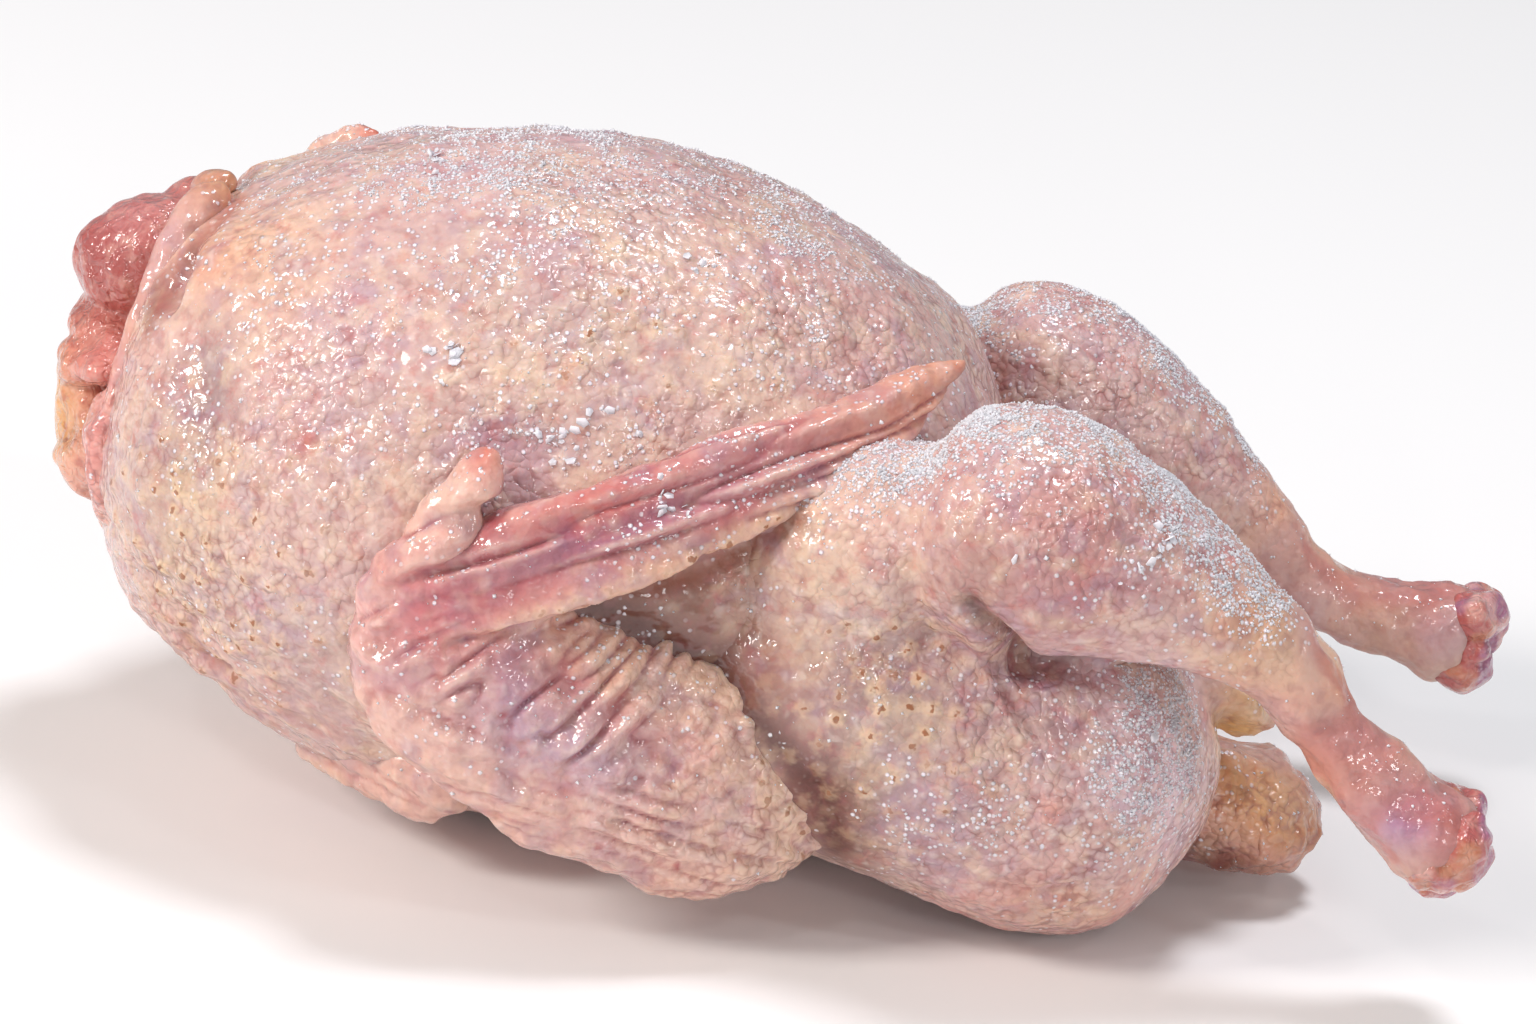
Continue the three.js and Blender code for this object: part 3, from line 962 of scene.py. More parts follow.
@dataclass
class Wing:
    """A folded wing on one side: forearm, hand, thumb, web and shoulder skin."""

    side: Side
    forearm: tuple[Triple, ...]
    hand: tuple[Triple, ...]
    thumb: tuple[Triple, ...]
    shoulder: tuple[Triple, ...]
    forearm_half: tuple[float, float] = (8.6, 4.1)
    hand_half: tuple[float, float] = (5.2, 2.5)
    thumb_radius: float = 2.3
    forearm_length: float = 42.0
    outward_tilt: float = 0.25
    voxel: float = 0.28

    def shells(self) -> list[bmesh.types.BMesh]:
        """The wing's closed shells, with the thin web that joins the thumb to the hand."""
        out = (0, self.side.value, self.outward_tilt)

        def leaf(curve: tuple, shares: tuple, half: tuple, ends: tuple) -> bmesh.types.BMesh:
            """A flat leaf of flesh along a curve."""
            stations = [(*p, w * half[0], d * half[1]) for p, (w, d) in zip(curve, shares)]
            return limb(on_side(self.side, stations), up=out, ends=ends, around=56, rings=64)

        arm = ((0.7, 0.9), (0.94, 1.05), (1.09, 1.08), (1.13, 1.1), (1.02, 1.05), (0.76, 0.9))
        hand = ((0.74, 1.3), (0.76, 1.2), (0.84, 1.05), (0.88, 0.95), (0.78, 0.85), (0.56, 0.75), (0.26, 0.5))
        thumb = tuple((s, 0.85 * s) for s in (1.25, 1, 0.84, 0.56))
        fold = ((2.4, 1.5), (4.4, 2.2), (6, 3.2))
        root, tip = np.array(self.thumb[0]), np.array(self.thumb[2])
        palm = np.array(self.hand[1]) + (0, 0, 2)
        web = tuple(tuple(root * (1 - t) + (0.5 * tip + 0.5 * palm) * t) for t in (0, 0.5, 1))
        return [
            leaf(self.forearm, arm, self.forearm_half, (0.16, 0.2)),
            leaf(self.hand, hand, self.hand_half, (0.12, 0.12)),
            leaf(self.thumb, thumb, (self.thumb_radius,) * 2, (0.2, 0.2)),
            leaf(self.shoulder, fold, (1, 1), (0.3, 0.3)),
            leaf(web, ((2.6, 1.2), (2.6, 1.0), (1.6, 0.8)), (1, 1), (0.3, 0.3)),
        ]

    def leaf_frame(self, points: np.ndarray, curve: tuple) -> tuple[np.ndarray, np.ndarray, np.ndarray]:
        """Places points against one of the wing's leaves.

        Args:
            points: Places in millimetres.
            curve: The leaf's middle line.

        Returns:
            The share of the way along, the distance above the line within the leaf's plane, and
            the distance from the line, in millimetres.
        """
        line = np.array(on_side(self.side, curve), float)
        off, share = line_distance(points, line)
        axis = line[-1] - line[0]
        axis /= np.linalg.norm(axis)
        rise = np.cross(np.array((0, self.side.value, self.outward_tilt)), axis)
        rise *= np.sign(rise[2]) / np.linalg.norm(rise)
        steps = np.linspace(0, 1, len(line))
        at = np.stack([np.interp(share, steps, line[:, k]) for k in range(3)], axis=1)
        return share, (points - at) @ rise, off

    def build(self, finish: bpy.types.Material) -> bpy.types.Object:
        """Builds, wrinkles and paints the wing.

        Args:
            finish: The skin's material.

        Returns:
            The wing's piece.
        """
        name = f"wing_skin_{self.side.name.lower()}"
        skin = Surface(fused(name, self.shells(), self.voxel, finish))
        skin.relax(6)
        self.paint(skin, self.wrinkle(skin))
        return skin.piece

    def wrinkle(self, skin: Surface) -> WingPlaces:
        """Raises the wing's bones, pleats, lumps and feather pits.

        Args:
            skin: The wing's smooth skin.

        Returns:
            Where its points lie.
        """
        p = skin.points
        along_hand, above_hand, hand_off = self.leaf_frame(p, self.hand[1:])
        along_arm, above_arm, arm_off = self.leaf_frame(p, self.forearm)
        on_hand = smoothstep(0.6, -0.4, (hand_off - 5.0) / 5 - (arm_off - 8.6) / 8.6)
        outer = smoothstep(0.0, 0.6, skin.normals[:, 1] * self.side.value)
        # the hand: a raised bone on the upper edge, a trough under it and long wrinkles
        trough = band(above_hand, 0.2, 1.7) * smoothstep(0.02, 0.25, along_hand)
        trough *= smoothstep(0.95, 0.6, along_hand)
        bone = band(above_hand, 3.6, 1.3) * smoothstep(1.0, 0.7, along_hand)
        strands = np.stack([35 * along_hand, above_hand + 3.5 * along_hand, p[:, 1] * 0.3], axis=1)
        ridges = np.abs(grain(strands, (8.0, 1.15, 4.0), 5))
        height = on_hand * outer * (0.5 * bone - 0.9 * trough)
        height += (1.6 * (ridges - 0.3) + 0.14 * grain(p, 1.0, 6)) * on_hand
        # the forearm: short pleats cross its upper half, long ones follow its lower edge, and fine
        # lumps cover it
        flat = np.stack([self.forearm_length * along_arm, above_arm, p[:, 1]], axis=1)
        crossing = slanted(flat, (0.92, -0.4, 0), (0.4, 0.92, 0), (0, 0, 0.3))
        following = slanted(flat, (-0.12, 1, 0), (1, 0, 0), (0, 0, 0.3))
        upper = smoothstep(-3.0, 0.5, above_arm) * smoothstep(0.8, 0.5, along_arm)
        across = np.abs(grain(crossing, (1.3, 6.0, 4.0), 9))
        beside = np.abs(grain(following, (1.4, 8.0, 4.0), 19))
        pleats = 1.5 * upper * (across - 0.3) + 1.0 * (1 - upper) * (beside - 0.3)
        height += (1 - on_hand) * (pleats + 0.2 * grain(p, 1.25, 12, 2))
        pleated = on_hand * ridges + (1 - on_hand) * (upper * across + (1 - upper) * (beside + 0.06))
        thumb_off, _ = line_distance(p, on_side(self.side, self.thumb))
        root, tip = np.array(self.hand[1]) + (1.6, 1.2, 2.4), np.array(self.thumb[2]) + (3.4, 0.4, -1.6)
        cleft = band(line_distance(p, on_side(self.side, (root, tip)))[0], 0, 1.5)
        height -= 0.4 * cleft * outer
        height += 0.22 * grain(p, 5.0, 3)
        skin.lift(height)
        skin.relax(1, 0.5)
        tract = 0.7 * (1 - on_hand) * smoothstep(2.2, 4.0, thumb_off) * smoothstep(0.0, 0.3, along_arm)
        tract *= 0.35 + 0.65 * smoothstep(0.5, 0.9, along_arm) * smoothstep(-6.0, 2.0, above_arm)
        tract = np.maximum(tract, 0.7 * on_hand * smoothstep(-1.6, -3.6, above_hand))
        skin.lift(Follicles(1.25, 0.42, 13).seat(skin, tract))
        return WingPlaces(on_hand, along_hand, above_hand, along_arm, above_arm, cleft, pleated)

    def paint(self, skin: Surface, at: WingPlaces) -> None:
        """Stores the wing's colours, painted shade and highlight among them, and its frost and wetness
        shares.

        Args:
            skin: The wing's skin.
            at: Where its points lie.
        """
        p, up = skin.points, skin.normals[:, 2]

        def near(place: Triple, reach: float) -> np.ndarray:
            """A soft share round one of the wing's points."""
            return spot(p, np.array(place) * (1, self.side.value, 1), reach)

        palm = tuple(np.array(self.hand[1]) + (-1, 1, 0))
        hand, arm = at.on_hand, 1 - at.on_hand
        layers = (
            ("#d08a86", hand * 0.8),
            ("#8c5470", 0.85 * hand * band(at.above_hand, 0.4, 1.9) * band(at.along_hand, 0.3, 0.26)),
            ("#b5747c", 0.6 * hand * band(at.above_hand, 0.4, 1.6) * band(at.along_hand, 0.6, 0.2)),
            ("#c4524a", 0.8 * hand * band(at.above_hand, 2.6, 1.5) * band(at.along_hand, 0.28, 0.13)),
            ("#b48aa8", 0.7 * hand * band(at.above_hand, 2.2, 1.8) * band(at.along_hand, 0.02, 0.1)),
            ("#e4b79c", 0.8 * hand * smoothstep(-2.0, -4.0, at.above_hand)),
            ("#e0a184", 0.75 * hand * smoothstep(0.55, 0.9, at.along_hand)),
            ("#cf7a55", 0.7 * near(self.hand[-1], 3.4)),
            ("#f0cab4", 0.95 * near(self.thumb[1], 3.4)),
            ("#f0cab4", 0.95 * near(self.thumb[2], 3.8)),
            ("#d2583a", 0.95 * near(self.thumb[-1], 2.1)),
            ("#c4606a", 0.85 * near(palm, 5.0)),
            ("#e9b2aa", 0.8 * near(self.forearm[0], 4.5)),
            ("#eec0ac", 0.8 * arm * smoothstep(4.5, 8.0, at.above_arm) * smoothstep(0.1, 0.3, at.along_arm)),
            ("#a35868", 0.5 * arm * smoothstep(-1, 4, at.above_arm) * band(at.along_arm, 0.35, 0.22)),
            ("#9c86a8", 0.6 * arm * band(at.above_arm, -0.5, 3.0) * band(at.along_arm, 0.42, 0.2)),
            ("#e6c0a8", 0.85 * arm * smoothstep(0.55, 0.95, at.along_arm)),
            ("#e4bda4", 0.75 * arm * smoothstep(3.5, 7.0, at.above_arm) * smoothstep(0.2, 0.5, at.along_arm)),
            ("#e0b4a4", 0.7 * arm * smoothstep(-3.0, -6.5, at.above_arm)),
            ("#e0ba98", 0.8 * near(self.shoulder[0], 8.0)),
            # the cleft between thumb and hand: dark red, partly the web's own red and partly painted shade in
            # the groove
            ("#9e3a48", 0.85 * at.cleft),
            # painted shade: darker red in the bottom of each wrinkle and in the wing's hollows
            ("#a84a52", 0.55 * smoothstep(0.16, 0.02, at.pleated)),
            ("#9c4448", np.clip(2.8 * skin.hollowness(10) - 0.06, 0, 0.85)),
            # painted highlight: paler on the wing's crests
            ("#f4d6c4", np.clip(-2.4 * skin.hollowness(8) - 0.1, 0, 0.5)),
            ("#8f6a8e", 0.32 * smoothstep(0.1, 0.7, grain(p, 2.6, 31))),
            ("#a32c36", 0.8 * smoothstep(0.78, 0.95, grain(p, 1.6, 32)) * arm),
        )
        skin.write(
            tint=layered(painted(p, "#d8a79c"), layers),
            frost=np.clip(0.14 * smoothstep(0.2, 0.9, up) + 0.12 * grain(p, 3.0, 41) + 0.05, 0, 0.6),
            wet=0.4 + 0.6 * smoothstep(-0.4, 0.4, grain(p, 4.0, 44)),
            veins=0.6,
            pebbled=0.15 + 0.5 * arm * smoothstep(0.3, 0.8, at.along_arm),
        )


@dataclass
class Neck:
    """The cut neck: rolled skin on both sides of bulging flesh and fat."""

    rim_voxel: float = 0.22
    flesh_voxel: float = 0.27
    lobes: tuple = (
        ((-53.2, 0.6, 42.7), (6.4, 5.6, 5.2), -20), ((-50, 3.6, 46.4), (3, 3.4, 2.6), 0),
        ((-54.6, 1, 36.4), (4.8, 6.6, 3.2), 12), ((-55.6, 0.4, 29.6), (5.3, 7, 5.6), -14),
        ((-57.6, -3.2, 34.6), (2.0, 3.4, 1.9), 0), ((-55.2, -6.2, 35.4), (2.6, 3.2, 1.8), -20),
        ((-54.6, 4.4, 28.4), (5.6, 5.6, 4.6), 0), ((-54.2, -3.4, 26.8), (5, 5, 4.4), 0),
        ((-51.4, 0.6, 21.6), (4.6, 7, 4.4), 0),
    )

    def fold(self, side: Side) -> bmesh.types.BMesh:
        """The rolled edge of the neck skin on one side, standing a little proud of the breast."""
        stations = [
            (-47.0, 0.4, 50.4, 1.7, 2.1), (-49.9, 4.4, 47.0, 1.3, 1.6), (-51.4, 7.4, 42.4, 1.1, 1.2),
            (-52.0, 8.8, 37.4, 1.5, 1.9), (-52.4, 8.8, 31.4, 2.7, 3.3), (-51.8, 8.0, 25, 2.7, 3.4),
            (-50.2, 3, 18.6, 2, 3),
        ]
        return limb(on_side(side, stations), up=(1, 0.3, 0), ends=(0.12, 0.15), around=40, rings=80)

    def rim(self, finish: bpy.types.Material) -> bpy.types.Object:
        """The rolled, wrinkled edge of the neck skin.

        Args:
            finish: The skin's material.

        Returns:
            The piece.
        """
        skin = Surface(fused("neck_skin_rim", [self.fold(side) for side in Side], self.rim_voxel, finish))
        skin.relax(4)
        p = skin.points
        ripples = grain(slanted(p, (1, 0, 0), (0, 1, 0), (0, 0, 0.3)), 1.1, 53)
        lumpy = smoothstep(38, 34, p[:, 2])
        skin.lift(0.22 * ripples + (0.1 + 0.6 * lumpy) * grain(p, 2.1, 54) + 0.22 * lumpy * grain(p, 1.1, 56))
        patches = (
            Patch("tan upper rim", (-46.5, 0, 51), (3.4, 5, 3.4), "#c8875a", 0.9),
            Patch("mauve strip", (-50.5, -6, 45), (3, 4, 4.5), "#cf9f9c", 0.85),
            Patch("rosy lower rim", (-54, -11, 31), (4, 5, 8), "#e0938a", 0.9),
        )
        # painted shade: darker red in the rim's hollows
        hollow = np.clip(2.2 * skin.hollowness(14), 0, 0.8)
        skin.write(
            tint=layered(painted(p, "#d8a596", patches), [("#8e4038", hollow)]),
            frost=0.1 + 0.12 * grain(p, 3.0, 55),
            wet=1.0,
            veins=0.5,
            pebbled=0.7 * smoothstep(38, 34, p[:, 2]),
            follicle=Follicles.furthest,
            pores=0.0,
        )
        return skin.piece

    def flesh(self, finish: bpy.types.Material) -> bpy.types.Object:
        """The flesh and fat that bulge out of the neck.

        Args:
            finish: The flesh's material.

        Returns:
            The piece.
        """
        skin = Surface(fused("neck_flesh", [lobe(*row) for row in self.lobes], self.flesh_voxel, finish))
        skin.relax(9)
        p = skin.points
        strands = grain(slanted(p, (1, 0, 0.4), (0, 1, 0), (0, 0, 0.4)), 1.2, 52)
        below = smoothstep(39, 36, p[:, 2])
        skin.lift((0.3 + 0.45 * below) * grain(p, 3.4, 51, 2) + 0.16 * strands + 0.12 * grain(p, 1.2, 57))
        patches = (
            Patch("neck muscle", (-55.5, -1.5, 43.5), (6, 7, 5.5), "#98393a", 0.95),
            Patch("pale crown", (-55, -1, 48), (5, 6, 2.6), "#c88482", 0.8),
            Patch("pink lobe", (-57, -4, 35.8), (4.5, 6, 2.6), "#d4827a", 0.9),
            Patch("pale fold", (-56, -6, 26.5), (5, 5, 5), "#dfa798", 0.9),
            Patch("lower fat", (-53, -2, 21), (5, 8, 4), "#d9a888", 0.8),
            Patch("yellow fat", (-59.5, -1, 29), (4.0, 8, 5.2), "#dca258", 1.0),
            Patch("brown edge", (-60.5, -2, 33.6), (1.6, 5, 1.0), "#8e4a24", 0.7),
        )
        # painted shade: darker red in the hollows between the lobes
        hollow = np.clip(1.6 * skin.hollowness(16), 0, 0.85)
        skin.write(tint=layered(painted(p, "#cf8276", patches), [("#8a3530", hollow)]))
        return skin.piece


@dataclass(frozen=True)
class Crease:
    """A groove, or with a negative depth a raised line, along a broken line in the skin; its colour, if it
    has one, is painted shade along the line.
    """

    what: str
    line: tuple[Triple, ...]
    width: float
    depth: float
    tone: str = ""
    one_side: bool = False
    flatness: float = 0.4

    def reach(self, points: np.ndarray) -> tuple[np.ndarray, np.ndarray]:
        """Distances from the line, which reaches further across the bird than along it.

        Args:
            points: Places in millimetres.

        Returns:
            The distance and the share of the way along, for each point.
        """
        squash = np.array((1, self.flatness, 1))
        here = points if self.one_side else near_side(points)
        return line_distance(here * squash, [tuple(np.array(place) * squash) for place in self.line])


@dataclass
class Bird:
    """The bird's own skin: the breast, and the rump with both legs and the tail."""

    trunk: Trunk
    legs: tuple[Leg, Leg]
    neck: Neck
    voxel: float = 0.46
    gristle_voxel: float = 0.2

    def breast(self, finish: bpy.types.Material) -> bpy.types.Object:
        """Builds the breast's skin.

        Args:
            finish: The skin's material.

        Returns:
            The piece.
        """
        skin = Surface(fused("breast_skin", [self.trunk.breast()], self.voxel, finish))
        skin.relax(4)
        self.sculpt(skin)
        self.paint(skin)
        return skin.piece

    def rear(self, finish: bpy.types.Material) -> bpy.types.Object:
        """Builds the skin of the rump, legs and tail.

        Args:
            finish: The skin's material.

        Returns:
            The piece.
        """
        shells = [self.trunk.pelvis(), self.trunk.tail(), self.trunk.vent_flap()]
        shells += [shell for leg in self.legs for shell in leg.shells()]
        skin = Surface(fused("rump_and_leg_skin", shells, self.voxel, finish))
        self.trunk.hollow_out(skin)
        skin.relax(4)
        here = near_side(skin.points)
        # the skin stretches smoothly over these joins
        joins = (((3, -23, 31), (11, 8, 9)), ((9, -20, 39), (9, 8, 8)), ((18, -12, 5), (18, 7, 7)))
        share = np.max([spot(here, place, reach) for place, reach in joins], axis=0)
        skin.relax(90, smoothstep(0.2, 0.75, share))
        self.sculpt(skin)
        self.paint(skin)
        return skin.piece

    @staticmethod
    def shank(points: np.ndarray, start: float, full: float) -> np.ndarray:
        """A share that rises over this stretch of x to 1 on the bare shanks, beside the tail."""
        return smoothstep(start, full, points[:, 0]) * smoothstep(7.0, 10.0, np.abs(points[:, 1]))

    def sculpt(self, skin: Surface) -> None:
        """Adds the dents, folds and lumps that show in the skin.

        Args:
            skin: The smooth skin.
        """
        p, here = skin.points, near_side(skin.points)
        height = np.zeros(len(p))
        for crease in CREASES:
            away, share = crease.reach(p)
            fade = smoothstep(0.0, 0.2, share) * smoothstep(1.0, 0.8, share) * 0.6 + 0.4
            height -= crease.depth * fade * band(away, 0, crease.width)
        bulges = (
            ((-37, -13, 51), 8, 0.7), ((-46.5, -9.5, 46), 4.5, 0.9), ((-31, -25, 34), 8, 0.5),
            ((26.3, -27.5, 16.3), 1.3, 0.9), ((10, -26.5, 27), 6, 0.5), ((31, -24, 21), 6, 0.6),
            ((22, -29, 41), 6, 0.4), ((-46, -20, 27), 6, 0.5), ((26.3, -28.4, 16.3), 0.6, -0.7),
        )
        for centre, reach, lift in bulges:
            height += lift * spot(here, centre, reach)
        shank = self.shank(p, 42, 46)
        tail = smoothstep(38, 41, p[:, 0]) * smoothstep(9.0, 7.5, np.abs(p[:, 1]))
        scaly = spot(here, (40, -24, 32), (5, 7, 6))
        height += 0.4 * grain(p, 11.0, 1) * (1 - 0.7 * shank)
        height += 0.2 * grain(p, 4.2, 2) + 0.16 * grain(p, 2.1, 3) + 0.12 * grain(p, 1.15, 4)
        height += 0.42 * tail * grain(p, 1.5, 9, 2) + 0.25 * scaly * grain(p, 1.6, 10)
        # tendons and strips of skin run down the shank
        down = slanted(here, (0.154, 0, -0.128), (0.64, 0, 0.77), (0, -1, 0)) - (0, 0, 22)
        height += 0.5 * shank * grain(down, (1.0, 1.9, 1.9), 6, 2)
        # loose pleats hang at the breast's low front edge, and fine ones run down the flank
        front = smoothstep(-34, -46, p[:, 0]) * smoothstep(36, 24, p[:, 2])
        low, flank = spot(here, (-33, -22, 14), (10, 8, 6)), spot(here, (-3, -26, 27), (7, 7, 8))
        pleats = (
            (0.45 * front, ((0.4, 0, 0), (0, 0.5, 0), (0, 0, 1)), 1.9, 8, 2),
            (0.6 * low, ((0.3, 0, -0.3), (0, 0.3, 0), (1, 0, 1)), 2.4, 14, 1),
            (0.35 * flank, ((1, 0, 0.5), (0, 0.3, 0), (0, 0, 0.25)), 1.3, 15, 1),
        )
        for share, axes, size, seed, octaves in pleats:
            height += share * grain(slanted(p, *axes), size, seed, octaves)
        tracts = (
            ((-43, -21, 25), 13, 1.1), ((13, -28, 23), (9, 8, 10), 1.0), ((-10, -20, 48), (16, 9, 8), 0.55),
        )
        tract = 0.12 + sum(most * spot(here, centre, reach) for centre, reach, most in tracts)
        height += Follicles().seat(skin, np.clip(tract, 0, 1) * (1 - shank))
        height *= smoothstep(0.2, 3.0, p[:, 2])
        skin.lift(height)
        skin.points[:, 2] = np.maximum(skin.points[:, 2], 0.0)
        skin.store()

    def paint(self, skin: Surface) -> None:
        """Stores the colours, painted shade among them, and the frost and wetness shares.

        Args:
            skin: The sculpted skin.
        """
        p, here, up = skin.points, near_side(skin.points), skin.normals[:, 2]
        streaks = grain(slanted(p, (0.2, 0, 0), (0, 1, 0), (0, 0, 0.6)), 1.8, 23)
        layers = [
            ("#ead0b0", 0.3 * smoothstep(0.0, 0.8, grain(p, 8.0, 21, 2))),
            ("#ae8fa4", 0.34 * smoothstep(0.0, 0.8, grain(p, 7.0, 22, 2))),
            ("#b96a62", 0.6 * self.shank(p, 43, 46) * smoothstep(0.0, 0.5, streaks)),
            # painted shade: darker in the skin's hollows
            ("#8a4a45", np.clip(1.6 * skin.hollowness(12) - 0.1, 0, 0.6)),
        ]
        # creases that have a colour get painted shade along their lines
        shade_lines = [crease for crease in CREASES if crease.tone]
        layers += [(crease.tone, 0.8 * band(crease.reach(p)[0], 0, crease.width)) for crease in shade_lines]
        colour = layered(painted(p, "#d6b0ab", SKIN_PATCHES), layers)

        crest = line_distance(here, [(10, -21, 43), (22, -22, 47), (33, -22.5, 42.5), (42, -23, 33.5)])[0]
        rime = band(crest, 0, 5.5)
        frosted = (
            (0.2, (-12, -4, 55), (24, 8, 6)), (0.16, (-26, -6, 55), (8, 8, 5)),
            (0.85, (33, -23, 19), (4.6, 7, 7)), (0.26, (19.5, -29, 14), (4.5, 6, 4)),
            (0.22, (-17, -25, 42), (7, 5, 3)), (0.22, (31, -28, 37.5), (5, 5, 4)),
            (0.2, (12, -23, 41), (6, 6, 5)),
        )
        frost = 0.1 * smoothstep(0.1, 1.0, up) + 0.5 * rime * smoothstep(-0.2, 0.5, up)
        frost += sum(most * spot(here, place, reach) for most, place, reach in frosted)
        frost += 0.15 * grain(p, 4.0, 61, 2) + 0.08
        frost *= 1 - 0.8 * smoothstep(40, 45, p[:, 0])
        dry = np.maximum(rime, spot(here, (31.5, -23, 20), (5, 6, 7)))
        # the tint's brightness: low where painted shade darkens it, so the mottling and domes fade there
        shade = smoothstep(0.06, 0.28, colour @ LUMINANCE)
        pebbled = 0.3 + 0.25 * smoothstep(4, 12, p[:, 0]) + 0.4 * grain(p, 7.0, 63, 2)
        pebbled += 0.35 * spot(here, (-43, -21, 25), 13) - 0.7 * self.shank(p, 42, 47)
        skin.write(
            tint=colour,
            frost=np.clip(frost, 0, 0.62),
            wet=(0.35 + 0.65 * smoothstep(-0.5, 0.4, grain(p, 6.0, 62))) * (1 - 0.6 * dry),
            veins=shade * (1 - 0.75 * smoothstep(37, 42, p[:, 0])),
            pebbled=np.clip(pebbled, 0.08, 0.8) * (0.3 + 0.7 * shade),
        )

    def gristle(self, finish: bpy.types.Material) -> bpy.types.Object:
        """The red and violet knobs at both cut hocks.

        Args:
            finish: The flesh's material.

        Returns:
            The piece.
        """
        shells = [shell for leg in self.legs for shell in leg.gristle()]
        skin = Surface(fused("hock_gristle", shells, self.gristle_voxel, finish))
        skin.relax(5)
        p = skin.points
        skin.lift(0.5 * grain(p, 2.2, 71, 2) + 0.12 * grain(p, 0.9, 74))
        layers = (
            ("#a07096", 0.7 * smoothstep(0.0, 0.5, grain(p, 2.0, 72))),
            ("#c98a5c", 0.6 * smoothstep(0.1, 0.6, grain(p, 1.8, 73))),
            ("#e3b3a6", 0.6 * smoothstep(0.1, 0.6, grain(p, 1.5, 75))),
            # painted shade: dark red in the hollows between the knobs
            ("#7a1c26", np.clip(2.4 * skin.hollowness(12), 0, 0.85)),
        )
        skin.write(tint=layered(painted(p, "#b8625e"), layers))
        return skin.piece


BESIDE_FOREARM = (
    (-12, -28.5, 29.6), (-7.5, -28, 27.3), (-2, -27.2, 24.8), (3.3, -28.5, 20), (8.3, -28.8, 15),
    (9.8, -27.5, 10),
)
UNDER_DRUMSTICK = (
    (18, -31, 34), (20.9, -30, 30.7), (22.8, -25.6, 27.4), (28.5, -25.5, 28), (35.5, -24, 27.6),
    (39, -23, 26.4),
)
FRONT_FURROW = ((-48, -13, 45), (-46.6, -17.1, 42.8), (-44.3, -21, 39.4), (-42.6, -23.7, 35.6))
FIRST_WEB_LINE = ((18.6, -28.8, 29.6), (20.6, -26.5, 25.5), (22.8, -27.1, 22.6), (24.7, -27.4, 20))
BESIDE_STRIP = ((-48.3, -8.6, 46.6), (-49, -10.8, 44.9), (-49.3, -12, 43.8))
LOW_FRONT = ((-45, -18, 17), (-38, -22, 13), (-30, -25, 11.4), (-22, -27, 10.6))
BESIDE_HAND = ((-9, -28.3, 30.6), (-3.2, -26.4, 31.8), (-0.4, -25.3, 33.8), (4.1, -26.3, 37.6))

# a crease's colour is painted shade: under the drumstick, in the neck edge, the gap beside the strip and the
# low front pleat, and on the flank beside the wing
CREASES = (
    Crease("front furrow", FRONT_FURROW, 2.2, 0.8),
    Crease("under the drumstick", UNDER_DRUMSTICK, 1.1, 2.4, "#4e261e"),
    Crease("first web line", FIRST_WEB_LINE, 0.5, -0.4),
    Crease("second web line", ((21, -26.2, 27.5), (23.3, -26.1, 24.4), (25.6, -26.5, 21.5)), 0.45, -0.35),
    Crease("web hollow", ((20, -28, 29), (22, -26.6, 25.4), (24.4, -26.8, 22)), 1.0, 0.5),
    Crease("hip pleat", ((30, -26, 9), (27, -27.5, 8.4), (22, -28.4, 8.4)), 0.8, 0.6),
    Crease("above the hand", ((-20, -26, 41), (-8, -25, 41), (2, -20, 44)), 2.6, 0.4),
    Crease("neck edge", ((-46, -3, 49.6), (-48.5, -8.4, 46.6), (-50.6, -11.5, 42)), 1.1, 0.8, "#a8665a"),
    Crease("gap beside the strip", BESIDE_STRIP, 0.7, 1.3, "#571f14"),
    Crease("low front pleat", LOW_FRONT, 0.9, 0.9, "#a8705c"),
    Crease("pleat below it", ((-43, -14, 13), (-36, -19, 9.4), (-29, -22, 8)), 0.8, 0.6),
    Crease("shade beside the forearm", ((-9, -28.3, 28.6), *BESIDE_FOREARM[1:]), 3.6, 0.0, "#652d24", True),
    # painted contact shadows that the forearm and the hand cast on the flank
    Crease("contact with the forearm", BESIDE_FOREARM, 1.1, 0.4, "#55261c", True),
    Crease("contact with the hand", BESIDE_HAND, 0.9, 0.3, "#84452c", True),
)

